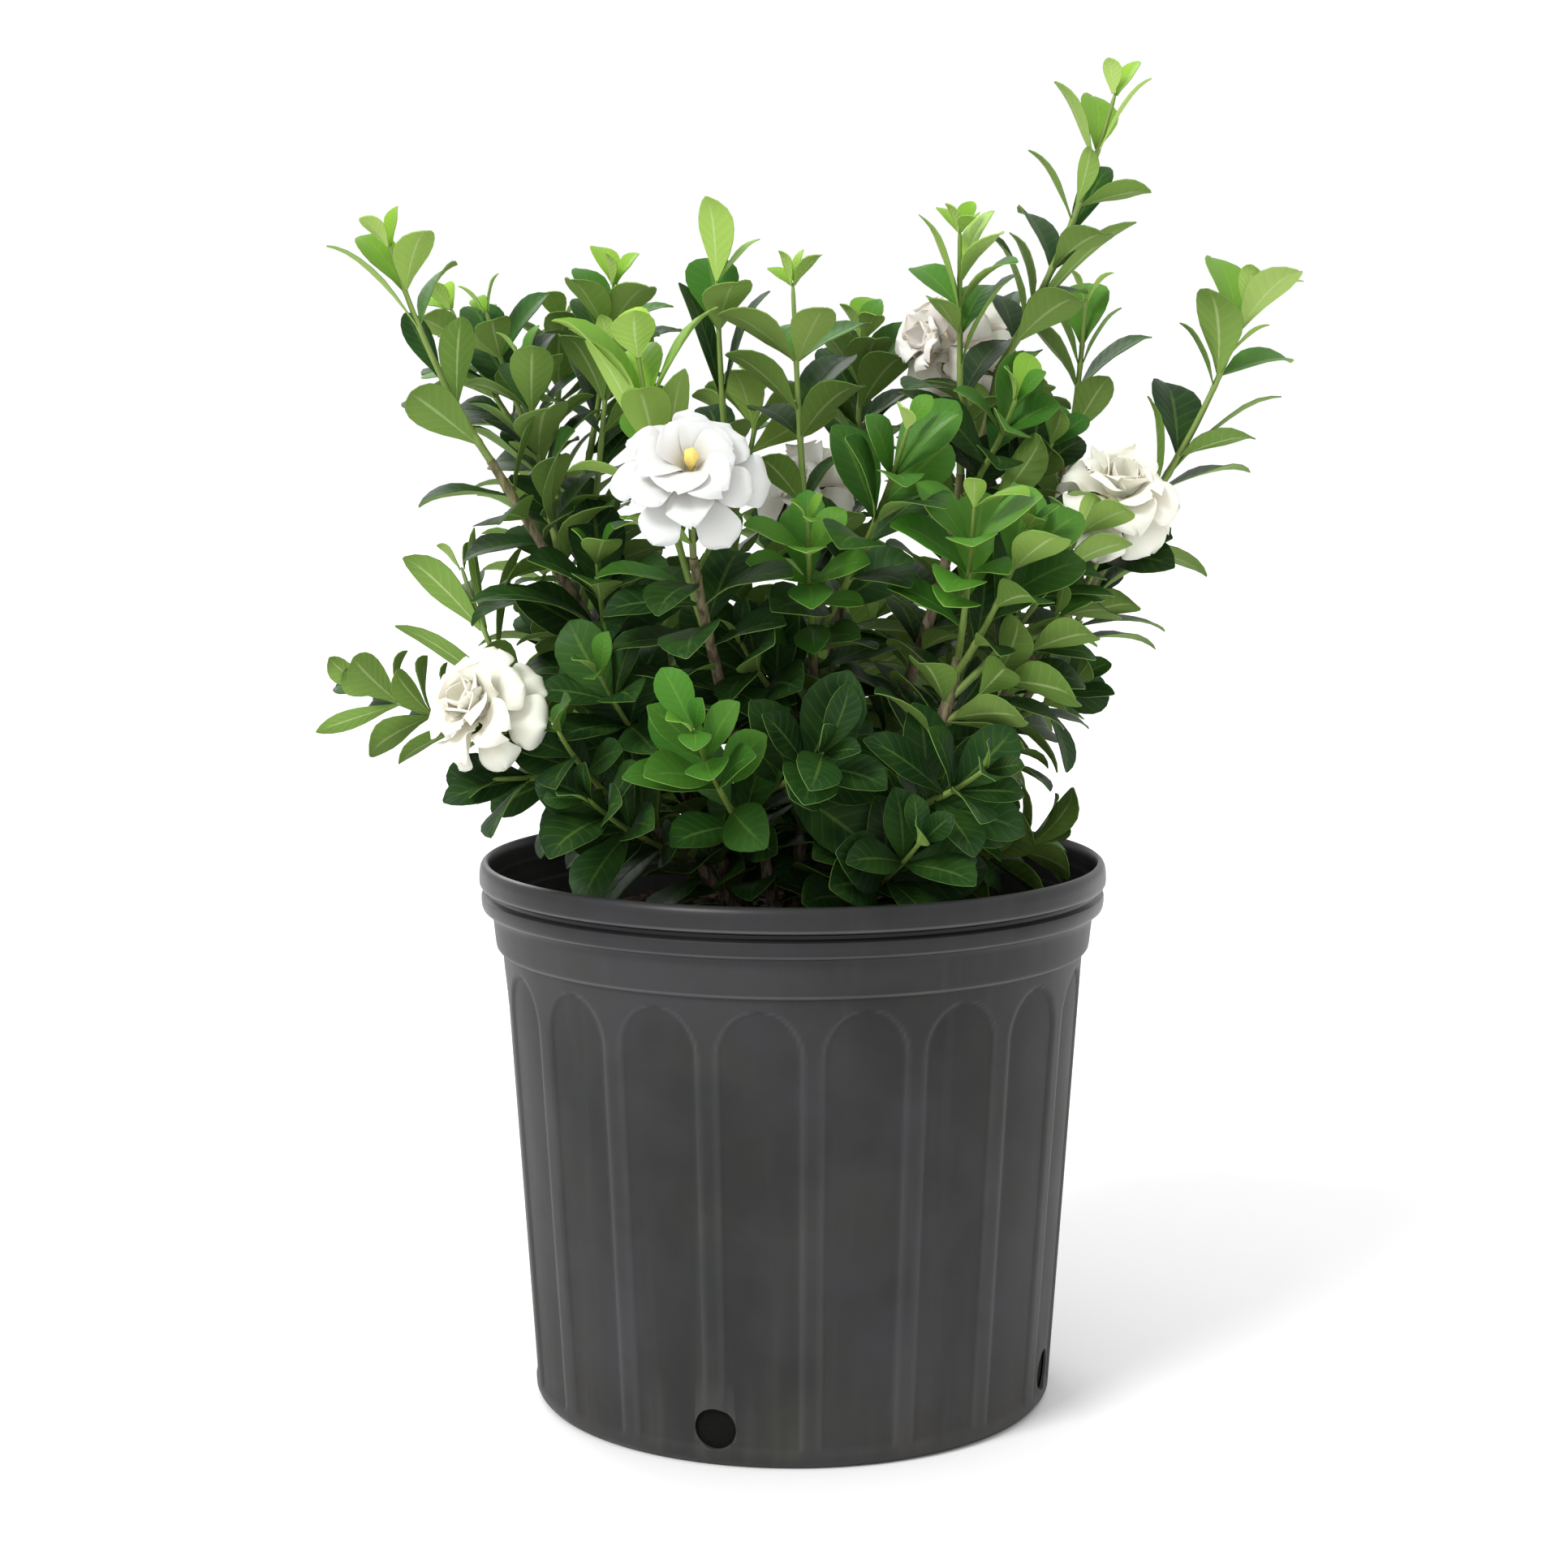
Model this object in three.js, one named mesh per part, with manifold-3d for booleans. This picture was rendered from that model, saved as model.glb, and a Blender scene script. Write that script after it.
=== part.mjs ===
// A gardenia shrub in a ribbed nursery pot. Millimetres, +Z up.
// The origin is the centre of the pot's flat base; the front of the pot faces -Y.
import * as THREE from "three";
import { mergeVertices } from "three/addons/utils/BufferGeometryUtils.js";
import Module from "manifold-3d";

const wasm = await Module();
wasm.setup();

// Pot
const POT_HEIGHT = 241.3;
const RIM_RADIUS = 138.5;
const FOOT_RADIUS = 111;
const WALL_FOOT_RADIUS = 115.4;
const WALL_TOP_RADIUS = 128.4;
const WALL_FOOT_HEIGHT = 4;
const WALL_TOP_HEIGHT = 202;
const INNER_TOP_HEIGHT = 196;
const WALL = 2.2;
const FLOOR = 2.5;
const PANELS = 18;
const PANEL_DEPTH = 1.1;
const PANEL_HALF = 7.2;
const PANEL_EDGE = 1.2;
const PANEL_PHASE = -6.4;
const DRAIN_HOLES = 4;
const DRAIN_RADIUS = 9;
const DRAIN_HEIGHT = 16.5;

// Soil and stems
const SOIL_TOP = 205;
const SOIL_MOUND = 5;
const GAP = 0.3;
const STEM_SIDES = 4;
const WOOD_SIDES = 6;
const WOOD_STEPS = 4;
const CROWN_HEIGHT = 186;

// Leaves, with the shares of their length where the mesh has corners
const BLADE = 0.75;
const LEAF_STATIONS = [0.36, 0.8];
const SMALL_STATIONS = [0.62];
const SMALL_LEAF = 25;
const LEAF_FOLD = 14;
const LEAF_WAVE = 0.4;
const LEAF_REACH = 2;
const LEAF_ROOT = 0.6;
const NODE_HALF = 0.9;
const NODE_SPACING = 5;
const RIM_CLEARANCE = 6;

// Blooms: places for petals round the core, the core's sizes, and the calyx below it
const PETAL_STATIONS = [0.42, 0.84];
const PETAL_WAVE = 0.8;
const PETAL_ROOT = 0.87;
const PLACES = 6;
const PINWHEEL = 16;
const CORE_RADIUS = 5.5;
const CORE_TAPER = 1.2;
const WHORL_STEP = 2.8;
const WHORL_HEIGHT = 1.7;
const BLOOM_TUBE = 15;
const TUBE_RADIUS = 2.6;
const CALYX_LENGTH = 8;
const CALYX_RADIUS = 3.2;

const rad = THREE.MathUtils.degToRad;
const vector = (values) => new THREE.Vector3(...values);

// Seeded random numbers, so that every build draws the same ones.
function randomSource(seed) {
  let state = seed;
  return () => {
    state = (state + 0x6d2b79f5) | 0;
    let mixed = Math.imul(state ^ (state >>> 15), 1 | state);
    mixed = (mixed + Math.imul(mixed ^ (mixed >>> 7), 61 | mixed)) ^ mixed;
    return ((mixed ^ (mixed >>> 14)) >>> 0) / 4294967296;
  };
}

// A closed mesh becomes a solid once its shared corners are one and its flat triangles are gone.
function solid(geometry) {
  const bare = geometry.clone();
  bare.deleteAttribute("normal");
  bare.deleteAttribute("uv");
  const merged = mergeVertices(bare, 1e-3);
  const corners = merged.index.array;
  const kept = [];
  for (let i = 0; i < corners.length; i += 3) {
    const [a, b, c] = corners.slice(i, i + 3);
    if (a !== b && b !== c && c !== a) kept.push(a, b, c);
  }
  return new wasm.Manifold(new wasm.Mesh({
    numProp: 3,
    vertProperties: new Float32Array(merged.attributes.position.array),
    triVerts: new Uint32Array(kept),
  }));
}

function fuse(solids) {
  return solids.reduce((whole, next) => whole.add(next));
}

// Cutting can leave a loose scrap; only the largest body is kept.
function largest(whole) {
  return whole.decompose().reduce((best, next) => (next.volume() > best.volume() ? next : best));
}

function geometryOf(whole) {
  const mesh = whole.getMesh();
  const geometry = new THREE.BufferGeometry();
  geometry.setAttribute("position", new THREE.BufferAttribute(new Float32Array(mesh.vertProperties), 3));
  geometry.setIndex(new THREE.BufferAttribute(new Uint32Array(mesh.triVerts), 1));
  geometry.computeVertexNormals();
  return geometry;
}

const gardenia = new THREE.Group();

function addPiece(name, whole, finish) {
  const mesh = new THREE.Mesh(geometryOf(whole), new THREE.MeshStandardMaterial(finish));
  mesh.name = name;
  gardenia.add(mesh);
}

// Four columns stand in each period of the pot's wall: two on a panel's edges, two on the rib beside it.
function columnAngle(column, half) {
  const period = 360 / PANELS;
  const step = period / 4;
  const offsets = half
    ? [half, half + PANEL_EDGE, period - half - PANEL_EDGE, period - half]
    : [0.5, 1.5, 2.5, 3.5].map((steps) => steps * step);
  return rad(PANEL_PHASE + Math.floor(column / 4) * period + offsets[column % 4]);
}

// A turned wall whose rows may carry the recessed panels. A row is radius, height, panel half-angle
// in degrees and panel depth; a row without a panel has evenly spaced columns.
function panelledLathe(rows) {
  const columns = PANELS * 4;
  const profile = rows.map(([radius, height]) => new THREE.Vector2(radius, height));
  const geometry = new THREE.LatheGeometry(profile, columns);
  const position = geometry.attributes.position;
  for (let column = 0; column <= columns; column += 1) {
    rows.forEach(([radius, height, half = 0, depth = 0], row) => {
      const angle = columnAngle(column % columns, half);
      const onPanel = column % 4 === 0 || column % 4 === 3;
      const reach = radius - (onPanel ? depth : 0);
      const vertex = column * rows.length + row;
      position.setXYZ(vertex, reach * Math.sin(angle), -reach * Math.cos(angle), height);
    });
  }
  return geometry;
}

function wallRadius(height) {
  const share = (height - WALL_FOOT_HEIGHT) / (WALL_TOP_HEIGHT - WALL_FOOT_HEIGHT);
  return THREE.MathUtils.lerp(WALL_FOOT_RADIUS, WALL_TOP_RADIUS, share);
}

// Outside, from the foot up: plain corner, panelled wall with arched tops, step, band, bead and lip.
const panelRows = [
  [6, PANEL_HALF, PANEL_DEPTH],
  [176, PANEL_HALF, PANEL_DEPTH],
  [189, 4.4, PANEL_DEPTH],
  [196, 1, 0],
].map(([height, half, depth]) => [wallRadius(height), height, half, depth]);

const rimOutside = [
  [RIM_RADIUS - 7.2, 204],
  [RIM_RADIUS - 5.6, 218],
  [RIM_RADIUS - 1.3, 221.5],
  [RIM_RADIUS - 0.8, 226],
  [RIM_RADIUS - 2.4, 229],
  [RIM_RADIUS, 231.5],
  [RIM_RADIUS - 0.8, POT_HEIGHT],
];
const rimInside = [
  [RIM_RADIUS - 4, POT_HEIGHT],
  [RIM_RADIUS - 9, 209],
];
const innerTopRadius = wallRadius(INNER_TOP_HEIGHT) - WALL;
const innerFootRadius = WALL_FOOT_RADIUS - WALL;

const potShell = solid(panelledLathe([
  [0, 0],
  [FOOT_RADIUS, 0],
  [WALL_FOOT_RADIUS, WALL_FOOT_HEIGHT],
  ...panelRows,
  [WALL_TOP_RADIUS, WALL_TOP_HEIGHT],
  ...rimOutside,
  ...rimInside,
  [innerTopRadius, INNER_TOP_HEIGHT, PANEL_HALF],
  [innerFootRadius, FLOOR, PANEL_HALF],
  [0, FLOOR],
]));

function drainHole(index) {
  const length = 30;
  const drill = new THREE.CylinderGeometry(DRAIN_RADIUS, DRAIN_RADIUS, length, 8);
  drill.translate(0, -WALL_FOOT_RADIUS, 0);
  drill.translate(0, 0, DRAIN_HEIGHT);
  const azimuth = rad(PANEL_PHASE - 180 / PANELS + (index * 360) / DRAIN_HOLES);
  drill.rotateZ(azimuth);
  return drill;
}
const drains = Array.from({ length: DRAIN_HOLES }, (_, index) => solid(drainHole(index)));
addPiece("pot", drains.reduce((pot, drain) => pot.subtract(drain), potShell), {
  color: 0x3f4042,
  roughness: 0.45,
  metalness: 0,
});

// A tube along a curve, tapering from one radius to the other.
function taperedTube(curve, startRadius, endRadius, sides, steps) {
  const corners = Array.from({ length: sides }, (_, side) => {
    const angle = (side * 2 * Math.PI) / sides;
    return new THREE.Vector2(startRadius * Math.cos(angle), startRadius * Math.sin(angle));
  });
  const geometry = new THREE.ExtrudeGeometry(new THREE.Shape(corners), {
    steps,
    bevelEnabled: false,
    extrudePath: curve,
  });
  const centres = curve.getSpacedPoints(steps);
  const position = geometry.attributes.position;
  const corner = new THREE.Vector3();
  for (let i = 0; i < position.count; i += 1) {
    corner.fromBufferAttribute(position, i);
    const distances = centres.map((centre) => centre.distanceTo(corner));
    const nearest = distances.indexOf(Math.min(...distances));
    const taper = THREE.MathUtils.lerp(1, endRadius / startRadius, nearest / steps);
    corner.sub(centres[nearest]).multiplyScalar(taper).add(centres[nearest]);
    position.setXYZ(i, corner.x, corner.y, corner.z);
  }
  return geometry;
}

// Woody stems: name, start (a point in the crown, or the stem and share it forks from), the two
// points that steer its curve, its end, and its radius at both ends.
const WOOD = [
  ["left_main", [-15, 0, CROWN_HEIGHT], [-28, 0, 250], [-75, 5, 320], [-131, -9, 416], 3.6, 2],
  ["low_left", [-11.5, -9.5, CROWN_HEIGHT], [-22, -18, 235], [-62, -32, 262], [-116, -45, 298], 3, 1.8],
  ["front", [-2, -15, CROWN_HEIGHT], [-12, -32, 260], [-33, -55, 320], [-41, -84, 378], 3.2, 2],
  ["centre", [0, 0, CROWN_HEIGHT], [2, -12, 250], [9, -24, 300], [9, -25, 345], 3.2, 2],
  ["right_low", [9.5, -11.5, CROWN_HEIGHT], [20, -55, 235], [62, -84, 290], [69, -65, 335], 4.2, 2.4],
  ["far_right", [15, -1, CROWN_HEIGHT], [40, 2, 250], [95, 0, 310], [152, 0, 392], 3.4, 2],
  ["tall_right", [12.5, 8.5, CROWN_HEIGHT], [22, 8, 260], [68, 0, 340], [73, -5, 410], 3.6, 2],
  ["back_right", [5, 14, CROWN_HEIGHT], [30, 42, 260], [100, 62, 320], [126, 57, 420], 3.4, 1.8],
  ["back_mid", [-4, 14.5, CROWN_HEIGHT], [0, 52, 260], [25, 72, 330], [28, 70, 400], 3.2, 1.9],
  ["back_left", [-11.5, 9.5, CROWN_HEIGHT], [-32, 50, 260], [-85, 75, 330], [-110, 80, 420], 3.4, 1.9],
  ["centre_left", ["centre", 0.62], [2, -10, 315], [-28, 12, 350], [-28, 12, 402], 1.9, 1.6],
  ["tall_fork", ["tall_right", 0.8], [72, 4, 392], [84, 8, 420], [90, 10, 455], 2, 1.8],
  ["right_side", ["far_right", 0.2], [45, 10, 240], [90, 8, 280], [114, 6, 330], 2.4, 1.7],
  ["back_far", ["back_mid", 0.22], [6, 80, 250], [12, 128, 290], [8, 150, 350], 2.4, 1.8],
  ["back_far_left", ["back_left", 0.25], [-40, 75, 250], [-88, 112, 285], [-108, 130, 335], 2.4, 1.8],
  ["back_far_right", ["back_right", 0.22], [36, 75, 250], [86, 112, 285], [104, 126, 340], 2.4, 1.8],
];

const woodCurves = {};
function forkPoint(place) {
  return typeof place[0] === "string" ? woodCurves[place[0]].getPoint(place[1]) : vector(place);
}
for (const [name, start, ...steering] of WOOD) {
  woodCurves[name] = new THREE.CubicBezierCurve3(forkPoint(start), ...steering.slice(0, 3).map(vector));
}

// The crown is the buried knot that the stems grow from. Grown by the gap it cuts the soil's hole.
function woodSolids(gap) {
  const crown = new THREE.CylinderGeometry(17 + gap, 15 + gap, 12 + 2 * gap, 8);
  crown.rotateX(Math.PI / 2);
  crown.translate(0, 0, CROWN_HEIGHT + 1);
  const stems = WOOD.map(([name, , , , , startRadius, endRadius]) => {
    const { v0, v1, v2, v3 } = woodCurves[name];
    const end = v3.clone().addScaledVector(v3.clone().sub(v2).normalize(), gap);
    const curve = new THREE.CubicBezierCurve3(v0, v1, v2, end);
    return solid(taperedTube(curve, startRadius + gap, endRadius + gap, WOOD_SIDES, WOOD_STEPS));
  });
  return fuse([solid(crown), ...stems]);
}
const clearOfWood = woodSolids(GAP);
addPiece("woody_stems", woodSolids(0), { color: 0x6f6254, roughness: 0.85, metalness: 0 });

// Soil fills the pot; its top is mounded and uneven, and the stems stand in a plain hole in it.
function soilGeometry() {
  const columns = PANELS * 2;
  const rows = [
    [0, FLOOR + GAP],
    [innerFootRadius - 0.35, FLOOR + GAP],
    [innerTopRadius - 0.5, INNER_TOP_HEIGHT],
    [RIM_RADIUS - 11.3, SOIL_TOP - 2],
    [75, SOIL_TOP],
    [0, SOIL_TOP],
  ];
  const random = randomSource(77);
  const profile = rows.map(([radius, height]) => new THREE.Vector2(radius, height));
  const geometry = new THREE.LatheGeometry(profile, columns);
  const position = geometry.attributes.position;
  const bumps = rows.map(() => Array.from({ length: columns }, () => (random() - 0.5) * 4));
  for (let column = 0; column <= columns; column += 1) {
    rows.forEach(([radius, height], row) => {
      const turn = Math.floor(column / 2) * 2;
      const angle = rad(PANEL_PHASE + (turn * 180) / PANELS + (column % 2 ? 12 : 8));
      const onTop = height === SOIL_TOP;
      const bump = onTop && radius > 0 ? bumps[row][column % columns] : 0;
      const mound = onTop ? SOIL_MOUND * (1 - radius / RIM_RADIUS) : 0;
      const x = radius * Math.sin(angle);
      const y = -radius * Math.cos(angle);
      position.setXYZ(column * rows.length + row, x, y, height + bump + mound);
    });
  }
  return geometry;
}
addPiece("soil", largest(solid(soilGeometry()).subtract(clearOfWood)), {
  color: 0x2b211a,
  roughness: 0.95,
  metalness: 0,
});

// Half-width of a blade along its length, as a share of its widest.
const leafOutline = (s) => Math.sin(Math.PI * s ** 1.5) ** 0.65;
const petalOutline = (s) => 1.35 * s ** 0.85 * Math.sqrt(1 - s ** 5);

// A blade runs from base to tip. It bows towards the side that "up" points to, its halves are folded
// up along the midrib, and its edges wave. The result gives points and normals at a share s of the
// length and at a side from -1 to 1.
function bladeSurface({ base, tip, up, roll, arc, fold, width, wave, outline }) {
  const along = tip.clone().sub(base);
  const length = along.length();
  along.normalize();
  const facing = up.clone().addScaledVector(along, -up.dot(along)).normalize();
  facing.applyAxisAngle(along, roll);
  const across = along.clone().cross(facing);
  const bow = Math.abs(arc) < 0.02 ? 0.02 : arc;
  const scale = length / (2 * Math.sin(bow / 2));
  return (s, side) => {
    const bend = bow * (s - 0.5);
    const half = (width / 2) * outline(s);
    const normal = facing.clone().multiplyScalar(Math.cos(bend)).addScaledVector(along, Math.sin(bend));
    const ripple = wave * Math.sin(9 * s + 2 * side) * side * side;
    const point = base.clone()
      .addScaledVector(along, scale * (Math.sin(bend) + Math.sin(bow / 2)))
      .addScaledVector(facing, scale * (Math.cos(bend) - Math.cos(bow / 2)))
      .addScaledVector(across, half * side * Math.cos(fold))
      .addScaledVector(normal, half * Math.abs(side) * Math.sin(fold) + ripple);
    return { point, normal };
  };
}

// Corners and triangles of one body that grows piece by piece.
class Growth {
  positions = [];

  faces = [];

  add(point) {
    this.positions.push(...point.toArray());
    return this.positions.length / 3 - 1;
  }

  ring(points) {
    return points.map((point) => this.add(point));
  }

  triangle(a, b, c) {
    this.faces.push(a, b, c);
  }

  quad(a, b, c, d) {
    this.triangle(a, b, c);
    this.triangle(a, c, d);
  }

  cap(ring) {
    for (let i = 1; i + 1 < ring.length; i += 1) this.triangle(ring[0], ring[i], ring[i + 1]);
  }

  // Joins two rings; where a blade grows from a side, the blade takes the place of its flat quad.
  band(lower, upper, blades = []) {
    lower.forEach((corner, side) => {
      const next = (side + 1) % lower.length;
      const root = [corner, lower[next], upper[next], upper[side]];
      if (blades[side]) this.blade(blades[side], root);
      else this.quad(...root);
    });
  }

  // A blade is split into triangles alike on both faces: a long one is a fan round a point of its
  // midrib, a short one a fan round its tip.
  blade({ surface, stations }, [lowerRight, lowerLeft, upperLeft, upperRight]) {
    const outline = [
      ...stations.map((s) => surface(s, 1)),
      surface(1, 0),
      ...[...stations].reverse().map((s) => surface(s, -1)),
    ];
    const face = (offset) => ({ point, normal }) => this.add(point.clone().addScaledVector(normal, offset));
    const top = [upperLeft, upperRight, ...outline.map(face(BLADE / 2))];
    const bottom = [lowerLeft, lowerRight, ...outline.map(face(-BLADE / 2))];
    const hub = stations.length > 1 ? [surface(0.52, 0)] : [];
    const tip = stations.length + 2;
    const [topHub] = [...hub.map(face(BLADE / 2)), top[tip]];
    const [bottomHub] = [...hub.map(face(-BLADE / 2)), bottom[tip]];
    top.forEach((corner, i) => {
      const next = (i + 1) % top.length;
      if (corner !== topHub && top[next] !== topHub) {
        this.triangle(corner, top[next], topHub);
        this.triangle(bottom[next], bottom[i], bottomHub);
      }
      if (i > 0) this.quad(top[next], corner, bottom[i], bottom[next]);
    });
  }

  geometry() {
    const geometry = new THREE.BufferGeometry();
    geometry.setAttribute("position", new THREE.Float32BufferAttribute(this.positions, 3));
    geometry.setIndex(this.faces);
    return geometry;
  }
}

// The corners of a section across a stem or core; its first side faces the turn.
function section(centre, right, upward, radius, sides, turn) {
  return Array.from({ length: sides }, (_, side) => {
    const angle = rad(turn + ((side - 0.5) * 360) / sides);
    return centre.clone()
      .addScaledVector(right, radius * Math.cos(angle))
      .addScaledVector(upward, radius * Math.sin(angle));
  });
}

// Places already taken, as balls in a grid of cells. A new blade or stem keeps clear of them.
const CELL = 10;
const taken = new Map();
const cellOf = (value) => Math.floor(value / CELL);

function take(balls) {
  for (const ball of balls) {
    const key = `${cellOf(ball.point.x)},${cellOf(ball.point.y)},${cellOf(ball.point.z)}`;
    if (!taken.has(key)) taken.set(key, []);
    taken.get(key).push(ball);
  }
}

// The roots of a shoot's own leaves may stand close together.
function meets(ball, other) {
  const sameShoot = ball.owner === other.owner;
  if (sameShoot && ball.root && other.root) return false;
  const reach = (ball.reach + other.reach) * (sameShoot ? 0.65 : 1);
  return ball.point.distanceToSquared(other.point) < reach * reach;
}

function isClear(balls) {
  return balls.every((ball) => {
    const [x, y, z] = ball.point.toArray().map(cellOf);
    for (let i = x - 1; i <= x + 1; i += 1) {
      for (let j = y - 1; j <= y + 1; j += 1) {
        for (let k = z - 1; k <= z + 1; k += 1) {
          const others = taken.get(`${i},${j},${k}`) ?? [];
          if (others.some((other) => meets(ball, other))) return false;
        }
      }
    }
    return true;
  });
}

// Inside the pot nothing touches the wall or the soil, and outside nothing touches the rim.
function clearOfPot(balls) {
  return balls.every(({ point }) => {
    const radius = Math.hypot(point.x, point.y);
    const aboveSoil = point.z > SOIL_TOP + SOIL_MOUND + 4;
    const aboveRim = point.z > POT_HEIGHT + RIM_CLEARANCE;
    return aboveRim || (aboveSoil && radius < RIM_RADIUS - 12);
  });
}

function curveBalls(curve, owner, startRadius, endRadius) {
  const steps = Math.ceil(curve.getLength() / 3);
  return Array.from({ length: steps + 1 }, (_, step) => ({
    point: curve.getPoint(step / steps),
    reach: THREE.MathUtils.lerp(startRadius, endRadius, step / steps) + 0.8,
    owner,
    root: true,
  }));
}

function bladeBalls(surface, length, width, owner) {
  const rows = Math.ceil(length / 3.6);
  const sides = width > 11 ? [-1, -0.5, 0, 0.5, 1] : [-1, 0, 1];
  const balls = [];
  for (let row = 1; row <= rows; row += 1) {
    const s = row / rows;
    for (const side of sides) {
      balls.push({ point: surface(s, side).point, reach: LEAF_REACH, owner, root: s < 0.2 });
    }
  }
  return balls;
}

for (const [name, , , , , startRadius, endRadius] of WOOD) {
  take(curveBalls(woodCurves[name], name, startRadius, endRadius));
}

// Blooms: name, centre, the way it faces, size, whorls of petals and seed. A whorl is the share of
// its six places that hold a petal, the angle from the bloom's axis, length, width, arc and fold.
const OPEN_WHORLS = [
  [1, 94, 34, 23, 55, -8],
  [1, 66, 28, 19, 40, 10],
  [0.5, 42, 25, 20, 50, 16],
];
const FULL_WHORLS = [
  [1, 104, 30, 22, 60, -14],
  [1, 72, 27, 20, 44, 8],
  [0.5, 34, 19, 20, -24, 20],
];
const FADED_WHORLS = [
  [1, 116, 32, 18, 50, -20],
  [1, 82, 29, 19, 60, -10],
  [0.5, 30, 22, 15, 30, 22],
];
const BLOOMS = [
  ["bloom_front", [-41, -112, 412], [0.03, -0.85, 0.53], 1, OPEN_WHORLS, 11],
  ["bloom_left", [-130, -67, 313], [-0.5, -0.66, 0.5], 1, FULL_WHORLS, 12],
  ["bloom_right", [138, -36, 400], [0.15, -0.62, 0.77], 1, FULL_WHORLS, 23],
  ["bloom_upper", [68, 34, 466], [-0.62, -0.55, 0.2], 1, FADED_WHORLS, 14],
  ["bloom_back", [4, 18, 402], [-0.2, -0.8, 0.4], 0.9, FADED_WHORLS, 15],
];

function bloomAxes(facing) {
  const axis = vector(facing).normalize();
  const right = new THREE.Vector3(0, 0, 1).cross(axis).normalize();
  return { axis, right, upward: axis.clone().cross(right) };
}

// Petals whorl by whorl; an empty place holds nothing.
function bloomPetals([, centre, facing, size, whorls, seed]) {
  const { axis, right, upward } = bloomAxes(facing);
  const random = randomSource(seed);
  const jitter = (amount) => (random() - 0.5) * 2 * amount;
  return whorls.map(([share, spread, length, width, arc, fold], whorl) =>
    Array.from({ length: PLACES }, (_, place) => {
      const shift = jitter(3);
      const lean = rad(spread + jitter(6));
      const reach = size * length * (1 + jitter(0.09));
      const roll = rad(PINWHEEL + jitter(4));
      const bow = rad(arc + jitter(10));
      const crease = rad(fold + jitter(5));
      const breadth = size * width * (1 + jitter(0.08));
      if ((place * share) % 1 !== 0) return null;
      const outward = outwardAt({ right, upward }, place * 60 + whorl * 30 + shift);
      const height = (whorl - 1) * WHORL_STEP;
      const base = vector(centre)
        .addScaledVector(outward, (CORE_RADIUS - whorl * CORE_TAPER) * PETAL_ROOT)
        .addScaledVector(axis, height);
      const tip = vector(centre)
        .addScaledVector(axis, reach * Math.cos(lean) + height)
        .addScaledVector(outward, reach * Math.sin(lean));
      const surface = bladeSurface({
        base, tip, up: axis, roll, arc: bow, fold: crease, width: breadth, wave: PETAL_WAVE,
        outline: petalOutline,
      });
      return { surface, stations: PETAL_STATIONS, length: base.distanceTo(tip), width: breadth };
    }));
}

// A bloom is a six-sided core with one band of petals above the other.
function bloomSolid([, centre, facing], petals) {
  const { axis, right, upward } = bloomAxes(facing);
  const growth = new Growth();
  const ring = (height, radius, turn) => {
    const middle = vector(centre).addScaledVector(axis, height);
    return growth.ring(section(middle, right, upward, radius, PLACES, turn));
  };
  let below = ring(GAP - BLOOM_TUBE, TUBE_RADIUS, 0);
  growth.cap([...below].reverse());
  petals.forEach((whorl, index) => {
    const height = (index - 1) * WHORL_STEP;
    const radius = CORE_RADIUS - index * CORE_TAPER;
    const lower = ring(height - WHORL_HEIGHT / 2, radius, index * 30);
    const upper = ring(height + WHORL_HEIGHT / 2, radius, index * 30);
    growth.band(below, lower);
    growth.band(lower, upper, whorl);
    below = upper;
  });
  growth.cap(below);
  return solid(growth.geometry());
}

for (const bloom of BLOOMS) {
  const [name, centre, facing] = bloom;
  const petals = bloomPetals(bloom);
  for (const { surface, length, width } of petals.flat().filter(Boolean)) {
    take(bladeBalls(surface, length, width, name));
  }
  const { axis } = bloomAxes(facing);
  const foot = vector(centre).addScaledVector(axis, -BLOOM_TUBE);
  take(curveBalls(new THREE.LineCurve3(foot, vector(centre)), name, TUBE_RADIUS, CORE_RADIUS));
  addPiece(name, bloomSolid(bloom, petals), { color: 0xf4f1e6, roughness: 0.6, metalness: 0 });
}

// The yellow club of the open bloom's stigma stands in its throat.
const throat = WHORL_STEP + WHORL_HEIGHT / 2 + GAP;
const stigmaProfile = [[0, throat], [1.2, throat], [2.6, 10], [2.4, 14], [0, 17]];
const stigma = new THREE.LatheGeometry(stigmaProfile.map(([r, z]) => new THREE.Vector2(r, z)), 6);
const openBloom = bloomAxes(BLOOMS[0][2]);
const bloomTurn = new THREE.Quaternion();
bloomTurn.setFromUnitVectors(new THREE.Vector3(0, 1, 0), openBloom.axis);
stigma.applyQuaternion(bloomTurn);
stigma.translate(...BLOOMS[0][1]);
addPiece("bloom_front_stigma", solid(stigma), { color: 0xe3c24a, roughness: 0.7, metalness: 0 });

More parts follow.
